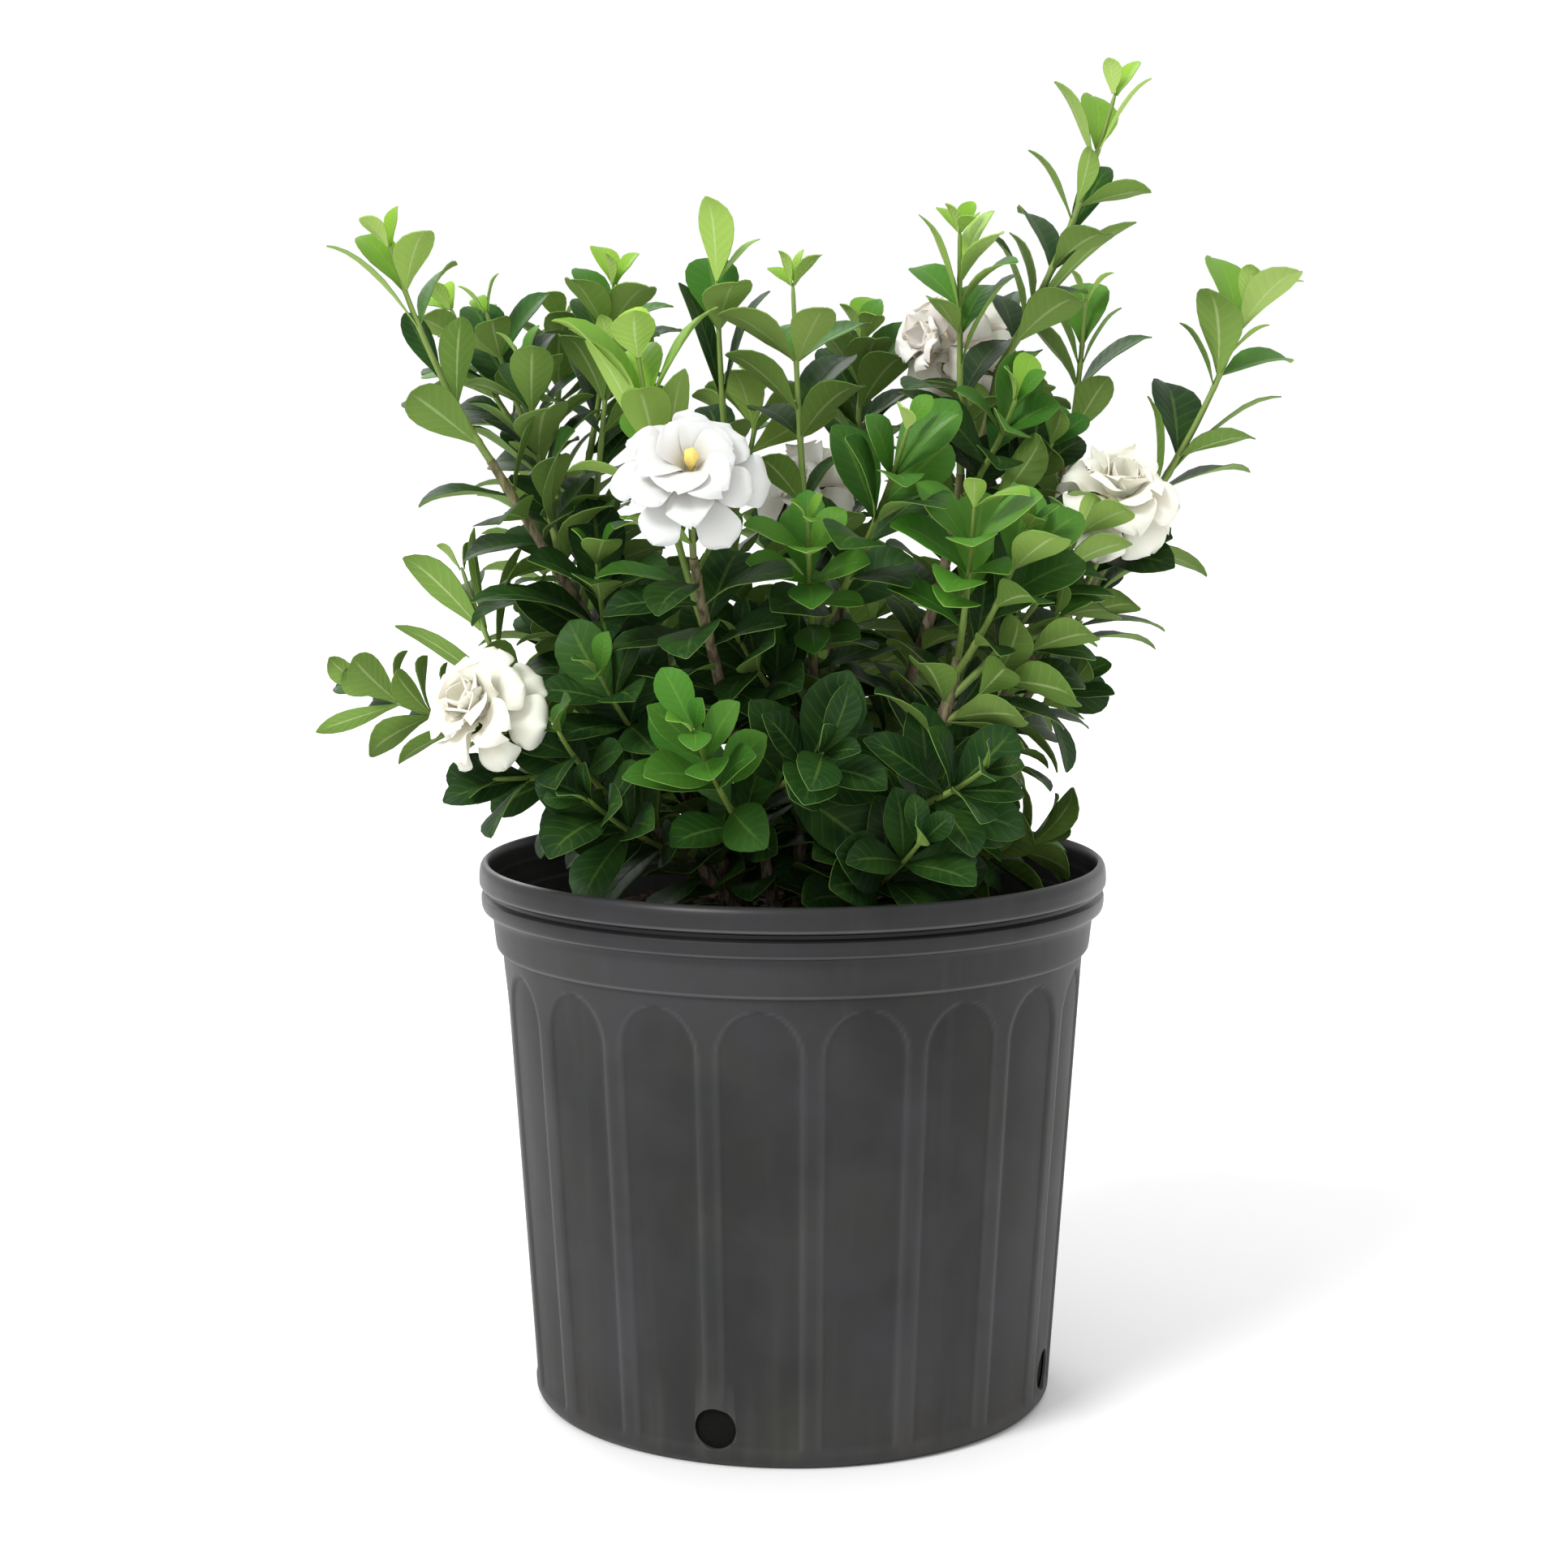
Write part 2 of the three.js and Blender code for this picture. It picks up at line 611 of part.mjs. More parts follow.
// Leafy shoots: name, the woody stem and the share of it where the shoot grows, its tip, the length
// of its full-grown leaves, the turn of its uppermost pair, its age from 0 for young to 1 for old,
// and its marked leaves. A marked leaf is its share of the shoot, its tip, width, arc and roll.
const SHOOTS = [
  ["left_high", "left_main", 1, [-172, -20, 508], 34, 40, 0.35, [
    [0.66, [-197, -22, 509], 15, 24, 10],
    [0.3, [-141, -30, 478], 17, 16, -40],
    [0.1, [-163, -36, 446], 21, 26, 30],
    [0.1, [-112, 6, 448], 17, 20, -30],
    [0.42, [-168, -4, 480], 12, 20, 0],
  ]],
  ["left_inner", "left_main", 0.8, [-117, 5, 458], 34, 20, 0.5, [
    [0.3, [-95, -40, 430], 27, 26, 60],
  ]],
  ["left_inner_back", "left_main", 0.76, [-82, 34, 464], 36, 60, 0.5, []],
  ["left_back_low", "back_left", 0.82, [-138, 50, 482], 32, 10, 0.5, []],
  ["left_back_high", "back_left", 0.92, [-157, 78, 484], 30, 50, 0.4, []],
  ["left_rear", "back_left", 1, [-107, 96, 478], 32, 0, 0.5, []],
  ["left_crown", "back_left", 0.88, [-80, 46, 494], 36, 35, 0.45, []],
  ["pale_left", "front", 0.78, [-65, -60, 464], 38, 0, 0.1, [
    [0.93, [-66, -64, 479], 21, 12, 0],
    [0.55, [-84, -70, 468], 18, 18, 20],
    [0.55, [-46, -74, 456], 16, 20, -20],
  ]],
  ["centre_tall", "centre_left", 1, [-33, -3, 494], 38, 10, 0.4, [
    [1, [-36, -10, 529], 21, 14, 0],
    [1, [-15, 2, 512], 8, 18, 0],
    [0.44, [-48, 10, 494], 12, 24, 0],
    [0.44, [-12, 0, 490], 18, 20, 0],
  ]],
  ["centre_front", "centre", 1, [0, -8, 492], 34, 40, 0.3, [
    [0.8, [-24, -10, 502], 10, 14, 20],
  ]],
  ["centre_back", "back_mid", 1, [32, 60, 470], 36, 20, 0.6, []],
  ["centre_left_back", "centre_left", 0.9, [-14, 38, 447], 30, 70, 0.2, []],
  ["front_right", "centre", 0.96, [46, -108, 432], 34, 60, 0.2, [
    [0.62, [23, -120, 428], 20, 18, -20],
    [0.8, [64, -116, 438], 14, 20, 0],
    [0.8, [12, -108, 430], 13, 20, 0],
  ]],
  ["front_small", "centre", 0.9, [6, -86, 394], 26, 0, 0.15, []],
  ["right_upright", "tall_right", 1, [71, -20, 514], 32, 45, 0.3, [
    [0.72, [55, -26, 521], 10, 16, 0],
    [0.5, [93, -32, 496], 19, 22, 20],
    [0.62, [58, -40, 486], 15, 16, -10],
  ]],
  ["right_tallest", "tall_fork", 1, [141, 22, 575], 34, 30, 0.3, [
    [0.78, [115, 14, 580], 14, 18, 0],
    [0.78, [155, 20, 582], 9, 16, 0],
    [0.58, [104, 16, 551], 11, 20, 0],
    [0.52, [141, 42, 546], 13, 20, 0],
    [0.52, [129, 4, 551], 16, 18, -20],
    [0.2, [88, -6, 512], 23, 20, -30],
    [0.2, [148, 10, 521], 15, 24, 0],
  ]],
  ["right_back_high", "back_right", 1, [133, 60, 487], 32, 0, 0.35, [
    [0.6, [112, 55, 492], 20, 18, -10],
    [0.6, [148, 60, 484], 13, 20, 0],
    [0.1, [142, 45, 453], 17, 18, -30],
    [0.1, [104, 62, 461], 11, 20, 0],
  ]],
  ["right_inner", "tall_right", 0.93, [94, -44, 443], 32, 10, 0.4, []],
  ["right_reach", "tall_right", 0.85, [112, -18, 424], 36, 40, 0.6, [
    [0.55, [133, -32, 454], 17, 20, 20],
    [0.3, [106, -50, 428], 18, 20, 0],
  ]],
  ["far_right_high", "far_right", 1, [200, 0, 492], 36, 30, 0.3, [
    [0.12, [211, -2, 446], 18, 26, 0],
    [0.12, [155, -12, 444], 17, 18, -15],
    [0.6, [169, 0, 476], 14, 22, 0],
    [0.6, [206, -2, 475], 13, 20, 0],
    [0.95, [221, 0, 494], 10, 14, 0],
    [0.95, [198, -8, 500], 14, 10, -10],
  ]],
  ["right_pale_a", "right_low", 1, [73, -106, 401], 34, 80, 0.1, []],
  ["right_pale_b", "right_low", 0.95, [95, -98, 392], 32, 20, 0.2, []],
  ["right_pale_c", "right_low", 0.88, [120, -62, 388], 34, 50, 0.25, []],
  ["right_dark", "right_side", 1, [142, 12, 376], 36, 0, 0.85, [
    [0.6, [161, 10, 371], 15, 30, 0],
  ]],
  ["right_mid", "right_low", 0.8, [110, -74, 354], 34, 30, 0.5, []],
  ["right_low_outer", "right_side", 0.8, [124, -8, 320], 34, 60, 0.6, [
    [0.6, [140, -16, 316], 11, 14, 30],
    [0.4, [121, -16, 281], 15, 24, 0],
  ]],
  ["right_low_front", "right_low", 0.55, [78, -98, 292], 36, 20, 0.7, [
    [0.3, [89, -96, 292], 26, 24, 0],
    [0.5, [30, -104, 306], 19, 20, 0],
  ]],
  ["pot_right", "right_side", 0.12, [118, 16, 246], 30, 40, 0.3, [
    [0.75, [101, -8, 277], 14, 20, 0],
    [0.95, [139, 24, 262], 20, 20, -30],
  ]],
  ["left_up", "low_left", 0.92, [-147, 18, 368], 30, 10, 0.3, [
    [0.7, [-171, 10, 374], 18, 24, 10],
    [0.7, [-143, 20, 385], 8, 10, 0],
    [0.55, [-122, 16, 378], 9, 20, 0],
    [0.3, [-173, 0, 345], 10, 18, 10],
  ]],
  ["left_out", "low_left", 1, [-184, -24, 318], 26, 30, 0.25, [
    [0.75, [-206, -28, 300], 9, 14, 60],
    [0.9, [-194, -28, 326], 15, 16, 0],
  ]],
  ["left_spur", "left_main", 0.68, [-84, -30, 374], 38, 0, 0.4, [
    [0.25, [-136, -46, 360], 20, 44, 20],
  ]],
  ["left_under", "low_left", 0.85, [-126, -66, 284], 34, 45, 0.7, [
    [0.4, [-147, -70, 276], 20, 24, 0],
  ]],
  ["left_bright", "left_main", 0.42, [-81, -67, 329], 34, 20, 0.25, []],
  ["left_low_front", "low_left", 0.72, [-98, -76, 306], 28, 60, 0.3, []],
  ["left_low_rim", "low_left", 0.48, [-85, -84, 278], 34, 30, 0.5, []],
  ["front_low", "front", 0.3, [-40, -126, 312], 34, 15, 0.15, [
    [0.6, [-68, -120, 293], 17, 22, 0],
    [0.6, [-17, -130, 302], 18, 20, 0],
    [0.8, [-58, -120, 321], 14, 16, 0],
  ]],
  ["centre_dark", "centre", 0.68, [-22, -62, 342], 38, 30, 0.9, []],
  ["front_dark", "right_low", 0.28, [52, -98, 262], 36, 50, 0.9, []],
  ["front_centre_dark", "front", 0.42, [12, -106, 300], 38, 10, 0.9, [
    [0.62, [0, -104, 281], 26, 20, -20],
  ]],
  ["back_low_left", "back_left", 0.42, [-112, 40, 346], 38, 0, 0.8, []],
  ["back_top", "back_far", 1, [6, 165, 404], 36, 20, 0.3, []],
  ["back_side", "back_far", 0.6, [48, 158, 352], 38, 50, 0.5, []],
  ["back_left_top", "back_far_left", 1, [-122, 142, 398], 36, 0, 0.3, []],
  ["back_left_low", "back_far_left", 0.6, [-72, 152, 332], 38, 40, 0.6, []],
  ["back_right_top", "back_far_right", 1, [118, 142, 402], 36, 30, 0.3, []],
  ["back_right_low", "back_far_right", 0.6, [76, 142, 322], 38, 10, 0.6, []],
];

// A flowering shoot ends in the calyx of its bloom: name, woody stem, share and leaf length.
const FLOWERING_SHOOTS = [
  ["bloom_front", "front", 1, 36, 40],
  ["bloom_left", "low_left", 0.97, 34, 20],
  ["bloom_right", "far_right", 0.84, 34, 60],
  ["bloom_upper", "tall_right", 0.9, 34, 30],
  ["bloom_back", "back_mid", 0.85, 34, 70],
];

// Leaf pairs from the tip down: place below the tip, share of the full length, angle from the stem
// and turn in quarters. The pairs between them are smaller and are left to the finer model.
const LEAF_PAIRS = [
  [0, 0.5, 24, 0],
  [18, 1.05, 44, 1],
  [36, 1.14, 54, 0],
];
// Turn and lean that a leaf may take to keep clear, and the share of its size, tried in order.
const SWAYS = [
  [0, 0, 1],
  [14, 0, 1],
  [-14, 0, 1],
  [0, 14, 1],
  [0, -12, 1],
  [28, 8, 0.95],
  [-28, 8, 0.95],
  [16, -14, 0.85],
  [-16, 20, 0.85],
  [42, 0, 0.8],
  [-42, 0, 0.8],
  [0, 24, 0.72],
];

function shootCurve(start, tip) {
  const reach = tip.clone().sub(start);
  const steering = start.clone().add(new THREE.Vector3(0.62, 0.62, 0.42).multiply(reach));
  return new THREE.QuadraticBezierCurve3(start, steering, tip);
}

const shoots = SHOOTS.map(([name, wood, share, tip, leafLength, turn, age, marked], index) => ({
  name,
  curve: shootCurve(woodCurves[wood].getPoint(share), vector(tip)),
  leafLength,
  turn,
  age,
  marked,
  seed: 100 + index,
  tipRadius: 0.9,
}));

FLOWERING_SHOOTS.forEach(([name, wood, share, leafLength, turn], index) => {
  const [, centre, facing] = BLOOMS[index];
  const { axis } = bloomAxes(facing);
  const start = woodCurves[wood].getPoint(share);
  const calyx = vector(centre).addScaledVector(axis, -BLOOM_TUBE);
  const steering = calyx.clone().addScaledVector(axis, -0.5 * start.distanceTo(calyx));
  shoots.push({
    name: name.replace("bloom", "below_bloom"),
    curve: new THREE.QuadraticBezierCurve3(start, steering, calyx),
    leafLength,
    turn,
    age: 0.6,
    marked: [],
    seed: 200 + index,
    tipRadius: 1.5,
    calyx: axis,
  });
});

for (const shoot of shoots) {
  shoot.nodes = [];
  shoot.length = shoot.curve.getLength();
  shoot.baseRadius = 1.15 + 0.005 * shoot.length + 0.3 * shoot.age;
  take(curveBalls(shoot.curve, shoot.name, shoot.baseRadius, shoot.tipRadius));
}

// Directions at a place on a shoot: along the stem, and the two that its turns are measured from.
function stemAxes(shoot, place) {
  const stem = shoot.curve.getTangent(place);
  const right = stem.clone().cross(new THREE.Vector3(0, 1, 0)).normalize();
  return { stem, right, upward: stem.clone().cross(right) };
}

function outwardAt({ right, upward }, degrees) {
  const angle = rad(degrees);
  return right.clone().multiplyScalar(Math.cos(angle)).addScaledVector(upward, Math.sin(angle));
}

// Leaves grow from the four sides of a node. Nodes that would crowd each other are one.
function nodeAt(shoot, place) {
  const apart = (node) => Math.abs(node.place - place) * shoot.length;
  const near = shoot.nodes.filter((node) => apart(node) < NODE_SPACING);
  if (near.length) return near.reduce((best, next) => (apart(next) < apart(best) ? next : best));
  const node = { place, leaves: [null, null, null, null] };
  shoot.nodes.push(node);
  return node;
}

function tryLeaf(shoot, node, side, leaf) {
  const surface = bladeSurface(leaf);
  const length = leaf.base.distanceTo(leaf.tip);
  const balls = bladeBalls(surface, length, leaf.width, shoot.name);
  if (!isClear(balls) || !clearOfPot(balls)) return false;
  take(balls);
  node.leaves[side] = { surface, stations: length < SMALL_LEAF ? SMALL_STATIONS : LEAF_STATIONS };
  return true;
}

// A marked leaf that has no room moves along the stem by a few steps and may get narrower.
const MARKED_TRIES = [
  [0, 1], [-1, 1], [1, 1], [-2, 1], [0, 0.8], [2, 0.8], [-1, 0.7], [-3, 0.7], [3, 0.7],
];

function growMarkedLeaves(shoot) {
  const step = NODE_SPACING / shoot.length;
  for (const [share, tipPlace, width, arc, roll] of shoot.marked) {
    for (const [shift, slim] of MARKED_TRIES) {
      const node = nodeAt(shoot, Math.min(share + shift * step, 1 - NODE_HALF / shoot.length));
      const axes = stemAxes(shoot, node.place);
      const centre = shoot.curve.getPoint(node.place);
      const tip = vector(tipPlace);
      const reach = tip.clone().sub(centre);
      const towards = (side) => outwardAt(axes, shoot.turn + side * 90);
      const side = [0, 1, 2, 3].reduce((best, next) =>
        (towards(next).dot(reach) > towards(best).dot(reach) ? next : best));
      const base = centre.addScaledVector(towards(side), LEAF_ROOT * shoot.baseRadius);
      const leaf = {
        base, tip, up: axes.stem, roll: rad(roll), arc: rad(arc), fold: rad(LEAF_FOLD),
        width: width * slim, wave: LEAF_WAVE, outline: leafOutline,
      };
      if (!node.leaves[side] && tryLeaf(shoot, node, side, leaf)) break;
    }
  }
}

// A long shoot, and one with large leaves, carries its leaves further apart.
const LONG_SHOOT = 110;
const MOST_STRETCH = 1.5;

function nodeStretch(shoot) {
  const long = THREE.MathUtils.clamp(shoot.length / LONG_SHOOT, 1, MOST_STRETCH);
  return long * (0.8 + shoot.leafLength / 170);
}

// Width of a leaf as a share of its length, at the tip of a shoot and below it.
const TIP_SLIM = 0.64;
const SLIM = 0.6;

function growPairedLeaves(shoot) {
  LEAF_PAIRS.forEach(([below, share, lean, quarter], pair) => {
    const random = randomSource(shoot.seed * 8 + pair);
    const jitter = (amount) => (random() - 0.5) * 2 * amount;
    const place = 1 - (NODE_HALF + below * nodeStretch(shoot)) / shoot.length;
    if (place < 0.1 || (shoot.calyx && pair === 0)) return;
    const node = nodeAt(shoot, place);
    const axes = stemAxes(shoot, node.place);
    for (const side of [quarter, quarter + 2]) {
      const turn = shoot.turn + side * 90 + jitter(12);
      const angle = lean + jitter(8);
      const length = shoot.leafLength * share * (1 + jitter(0.12));
      const slim = (pair ? SLIM : TIP_SLIM) + jitter(0.05);
      const shape = {
        up: axes.stem, roll: rad(jitter(16)), arc: rad(26 + jitter(14)),
        fold: rad(LEAF_FOLD + jitter(6)), wave: LEAF_WAVE, outline: leafOutline,
      };
      const outward = outwardAt(axes, shoot.turn + side * 90);
      const base = shoot.curve.getPoint(node.place).addScaledVector(outward, LEAF_ROOT * shoot.baseRadius);
      if (node.leaves[side]) continue;
      for (const [sway, droop, size] of SWAYS) {
        const incline = rad(angle + droop);
        const tip = base.clone()
          .addScaledVector(axes.stem, length * size * Math.cos(incline))
          .addScaledVector(outwardAt(axes, turn + sway), length * size * Math.sin(incline));
        if (tryLeaf(shoot, node, side, { ...shape, base, tip, width: length * size * slim })) break;
      }
    }
  });
}

shoots.forEach(growMarkedLeaves);
shoots.forEach(growPairedLeaves);

const YOUNG_GREEN = new THREE.Color(0x8fb53f);
const OLD_GREEN = new THREE.Color(0x2c5a27);

// A four-sided stem with a ring below and above every node. A flowering one swells into a calyx.
function shootSolid(shoot) {
  const growth = new Growth();
  const ring = (place, radius) => {
    const { right, upward } = stemAxes(shoot, place);
    const taper = THREE.MathUtils.lerp(shoot.baseRadius, shoot.tipRadius, place);
    const centre = shoot.curve.getPoint(place);
    return growth.ring(section(centre, right, upward, radius ?? taper, STEM_SIDES, shoot.turn));
  };
  const half = NODE_HALF / shoot.length;
  let below = ring(0);
  growth.cap([...below].reverse());
  const grown = shoot.nodes.filter((node) => node.leaves.some(Boolean));
  for (const { place, leaves } of grown.sort((a, b) => a.place - b.place)) {
    const lower = ring(place - half);
    const upper = ring(place + half);
    growth.band(below, lower);
    growth.band(lower, upper, leaves);
    below = upper;
  }
  const extend = (place, radius) => {
    const upper = ring(place, radius);
    growth.band(below, upper);
    below = upper;
  };
  if (shoot.calyx) extend(1 - CALYX_LENGTH / shoot.length);
  if (shoot.calyx) extend(1, CALYX_RADIUS);
  else if (!grown.some(({ place }) => place + 1.5 * half > 1)) extend(1);
  growth.cap(below);
  return largest(solid(growth.geometry()).subtract(clearOfWood));
}

for (const shoot of shoots) {
  addPiece(`shoot_${shoot.name}`, shootSolid(shoot), {
    color: YOUNG_GREEN.clone().lerp(OLD_GREEN, shoot.age),
    roughness: 0.4,
    metalness: 0,
  });
}

export default gardenia;
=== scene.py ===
import math
import bpy
import numpy as np
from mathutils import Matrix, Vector, noise


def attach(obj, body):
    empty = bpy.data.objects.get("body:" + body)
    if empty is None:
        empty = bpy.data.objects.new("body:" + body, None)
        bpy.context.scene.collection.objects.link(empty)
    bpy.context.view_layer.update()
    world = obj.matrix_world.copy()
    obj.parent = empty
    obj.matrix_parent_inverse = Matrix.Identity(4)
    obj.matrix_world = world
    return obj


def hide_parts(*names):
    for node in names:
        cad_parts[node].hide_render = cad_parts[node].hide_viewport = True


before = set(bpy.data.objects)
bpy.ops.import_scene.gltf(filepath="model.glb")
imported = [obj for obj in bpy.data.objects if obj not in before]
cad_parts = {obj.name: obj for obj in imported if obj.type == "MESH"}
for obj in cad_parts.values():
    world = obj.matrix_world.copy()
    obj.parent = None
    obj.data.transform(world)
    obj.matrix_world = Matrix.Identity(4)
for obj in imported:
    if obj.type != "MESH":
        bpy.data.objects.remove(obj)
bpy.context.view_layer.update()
bpy.ops.object.select_all(action="DESELECT")

# The studio: a wide pale floor before a white backdrop, a soft light from the front left, a weaker one
# from behind, and the camera a little above the pot's rim, looking slightly down.
CAMERA_PLACE = (-0.0038, -1.3319, 0.4471)
CAMERA_PITCH = 7.43
CAMERA_LENS = 69.71
SENSOR_WIDTH = 36
BACKDROP_GLOW = 1.01
PLANT_MIDDLE = (0, 0, 0.35)

camera_data = bpy.data.cameras.new("camera")
camera_data.lens = CAMERA_LENS
camera_data.sensor_width = SENSOR_WIDTH
camera = bpy.data.objects.new("camera", camera_data)
camera.location = CAMERA_PLACE
camera.rotation_euler = (math.radians(90 - CAMERA_PITCH), 0, 0)
bpy.context.collection.objects.link(camera)
bpy.context.scene.camera = camera
bpy.context.scene.view_settings.view_transform = "Standard"

world = bpy.data.worlds.new("studio")
bpy.context.scene.world = world
world.use_nodes = True
backdrop = world.node_tree.nodes["Background"]
backdrop.inputs["Color"].default_value = (1, 1, 1, 1)
backdrop.inputs["Strength"].default_value = BACKDROP_GLOW

bpy.ops.mesh.primitive_plane_add(size=14, location=(0, 3, 0))
floor = bpy.context.object
floor.name = "floor"
floor_finish = bpy.data.materials.new("floor_paint")
floor_finish.use_nodes = True
floor_shader = floor_finish.node_tree.nodes["Principled BSDF"]
floor_shader.inputs["Base Color"].default_value = (0.9, 0.9, 0.9, 1)
floor_shader.inputs["Roughness"].default_value = 0.7
floor.data.materials.append(floor_finish)

# The lights: name, place, width as an angle, power.
for name, place, size, power in [
        ("key", (-1.5, -1.6, 2.4), 0.35, 2.1), ("rim", (-0.9, 2.0, 1.8), 0.5, 0.7)]:
    light = bpy.data.lights.new(name, "SUN")
    light.angle = size
    light.energy = power
    lamp = bpy.data.objects.new(name, light)
    lamp.location = place
    lamp.rotation_euler = (Vector(PLANT_MIDDLE) - Vector(place)).to_track_quat("-Z", "Y").to_euler()
    bpy.context.collection.objects.link(lamp)


# The nursery pot: one moulding of charcoal grey plastic with a rolled rim, eighteen shallow panels
# with arched tops pressed into its wall, and four drain holes low in the wall.
class Shade:
    """A shader socket that takes part in sums."""

    def __init__(self, tree, socket):
        self.tree, self.socket = tree, socket

    def math(self, operation, *values):
        node = self.tree.nodes.new("ShaderNodeMath")
        node.operation = operation
        for place, value in enumerate(values):
            fill(self.tree, node.inputs[place], value)
        return Shade(self.tree, node.outputs[0])

    def __add__(self, other):
        return self.math("ADD", self, other)

    def __sub__(self, other):
        return self.math("SUBTRACT", self, other)

    def __rsub__(self, other):
        return self.math("SUBTRACT", other, self)

    def __mul__(self, other):
        return self.math("MULTIPLY", self, other)

    __radd__, __rmul__ = __add__, __mul__

    def __pow__(self, other):
        return self.math("POWER", self, other)

    def size(self):
        return self.math("ABSOLUTE", self)

    def rest(self):
        return self.math("FRACT", self)


def fill(tree, socket, value):
    """Links a socket to a shade, or sets it to a plain value."""
    if isinstance(value, Shade):
        tree.links.new(value.socket, socket)
    else:
        socket.default_value = value


class Finish:
    """A material that is built up from its principled shader."""

    def __init__(self, name, **constants):
        self.material = bpy.data.materials.new(name)
        self.material.use_nodes = True
        self.tree = self.material.node_tree
        self.shader = self.tree.nodes["Principled BSDF"]
        for socket, value in constants.items():
            name = socket.replace("_", " ").title().replace("Ior", "IOR")
            self.shader.inputs[name].default_value = value

    def node(self, kind, settings=(), output=0, **sockets):
        """A node of a kind, with its settings. A socket goes by its name or, as s0, by its number."""
        node = self.tree.nodes.new(kind)
        for name, value in dict(settings).items():
            setattr(node, name, value)
        for name, value in sockets.items():
            fill(self.tree, node.inputs[int(name[1:]) if name[1:].isdigit() else name], value)
        return Shade(self.tree, node.outputs[output])

    def place(self):
        return self.node("ShaderNodeTexCoord", output="Object")

    def height(self):
        return self.split("ShaderNodeSeparateXYZ", self.place())[2]

    def attribute(self, name):
        """The three channels of a colour that the corners of the mesh carry."""
        return self.split(
            "ShaderNodeSeparateColor", self.node("ShaderNodeAttribute", {"attribute_name": name}))

    def pattern(self):
        return self.node("ShaderNodeUVMap", {"uv_map": "pattern"})

    def noise(self, scale, detail, stretch=None):
        place = self.place()
        if stretch:
            place = self.node("ShaderNodeMapping", Vector=place, Scale=stretch)
        return self.node("ShaderNodeTexNoise", Vector=place, Scale=scale, Detail=detail, Roughness=0.6)

    def steps(self, value, low, high, start=0.0, end=1.0):
        """A smooth step of a value, from start at its low end to its end at the high one."""
        return self.node("ShaderNodeMapRange", {"interpolation_type": "SMOOTHSTEP"},
                         s0=value, s1=low, s2=high, s3=start, s4=end)

    def blend(self, factor, first, second):
        """A mix of two colours, each a shade or its values on a screen, from 0 to 255."""
        first, second = [value if isinstance(value, Shade) else colour(*value) for value in (first, second)]
        return self.node("ShaderNodeMix", {"data_type": "RGBA"}, output=2, s0=factor, s6=first, s7=second)

    def split(self, kind, value):
        """All the outputs of a node that takes a colour or a place apart."""
        node = self.tree.nodes.new(kind)
        self.tree.links.new(value.socket, node.inputs[0])
        return [Shade(self.tree, output) for output in node.outputs]

    def feed(self, **sockets):
        for name, value in sockets.items():
            self.tree.links.new(value.socket, self.shader.inputs[name.replace("_", " ")])

    def bump(self, height, strength, distance):
        normal = self.node("ShaderNodeBump", Height=height, Strength=strength, Distance=distance)
        self.tree.links.new(normal.socket, self.shader.inputs["Normal"])


def colour(red, green, blue):
    """A colour on a screen, from 0 to 255, in the shader's own scale."""
    def linear(value):
        share = value / 255
        return share / 12.92 if share <= 0.04045 else ((share + 0.055) / 1.055) ** 2.4
    return (linear(red), linear(green), linear(blue), 1)


POT_COLUMNS = 540
POT_HEIGHT = 241.3
RIM_RADIUS = 138.5
FOOT_RADIUS = 111
WALL_FOOT_RADIUS = 115.4
WALL_TOP_RADIUS = 128.4
WALL_FOOT_HEIGHT = 4
WALL_TOP_HEIGHT = 202
INNER_TOP_HEIGHT = 196
WALL = 2.2
FLOOR = 2.5
PANELS = 18
PANEL_DEPTH = 1.1
PANEL_HALF = 7.8
PANEL_EDGE = 1.1
PANEL_PHASE = -6.4
ARCH_SPRING = 176
ARCH_TOP = 196.5
DRAIN_HOLES = 4
DRAIN_RADIUS = 9
DRAIN_HEIGHT = 16.5
RIDGE_PLACE = 0.45
RIDGE_WIDTH = 0.4
GROOVE_HEIGHT = 0.2289
BAND_HEIGHTS = (0.2032, 0.2205, 0.2312)


def wall_radius(height):
    share = (height - WALL_FOOT_HEIGHT) / (WALL_TOP_HEIGHT - WALL_FOOT_HEIGHT)
    return WALL_FOOT_RADIUS + (WALL_TOP_RADIUS - WALL_FOOT_RADIUS) * share


# Radius and height along the wall, from the foot up the outside, over the rim and down the inside.
pot_profile = [
    (FOOT_RADIUS - 6, 0.8), (FOOT_RADIUS - 2, 0), (FOOT_RADIUS, 0), (FOOT_RADIUS + 2.2, 0.7),
    (WALL_FOOT_RADIUS - 0.7, 2.4),
]
pot_profile += [(wall_radius(height), height) for height in (
    4, 5.5, 7, 8.5, 10, 40, 80, 120, 150, 168, *np.arange(174, 202.5, 1.3))]
pot_profile += [(RIM_RADIUS - inward, height) for inward, height in [
    (9.2, 202.3), (8.1, 202.9), (7.4, 203.9), (7.1, 205.4), (6.8, 208), (5.9, 216.6), (5.5, 218.6),
    (4.6, 219.6), (2.5, 220.2), (1.6, 220.9), (1.1, 222.2), (0.9, 224), (0.9, 226), (1.2, 226.9),
    (2.3, 227.5), (3, 228.3), (2.9, 229.7), (1.8, 230.4), (0.6, 230.9), (0.1, 231.8), (0, 233.5),
    (0.1, 236.5), (0.5, 238.8), (1.2, 240.3), (2.2, 241.1), (2.9, POT_HEIGHT), (3.7, 240.9),
    (4.3, 239.6), (4.6, 237), (5.2, 231), (6, 226), (9, 211), (10.3, 206),
]]
pot_profile += [
    (wall_radius(INNER_TOP_HEIGHT) - WALL, INNER_TOP_HEIGHT), (WALL_FOOT_RADIUS - WALL, FLOOR)]

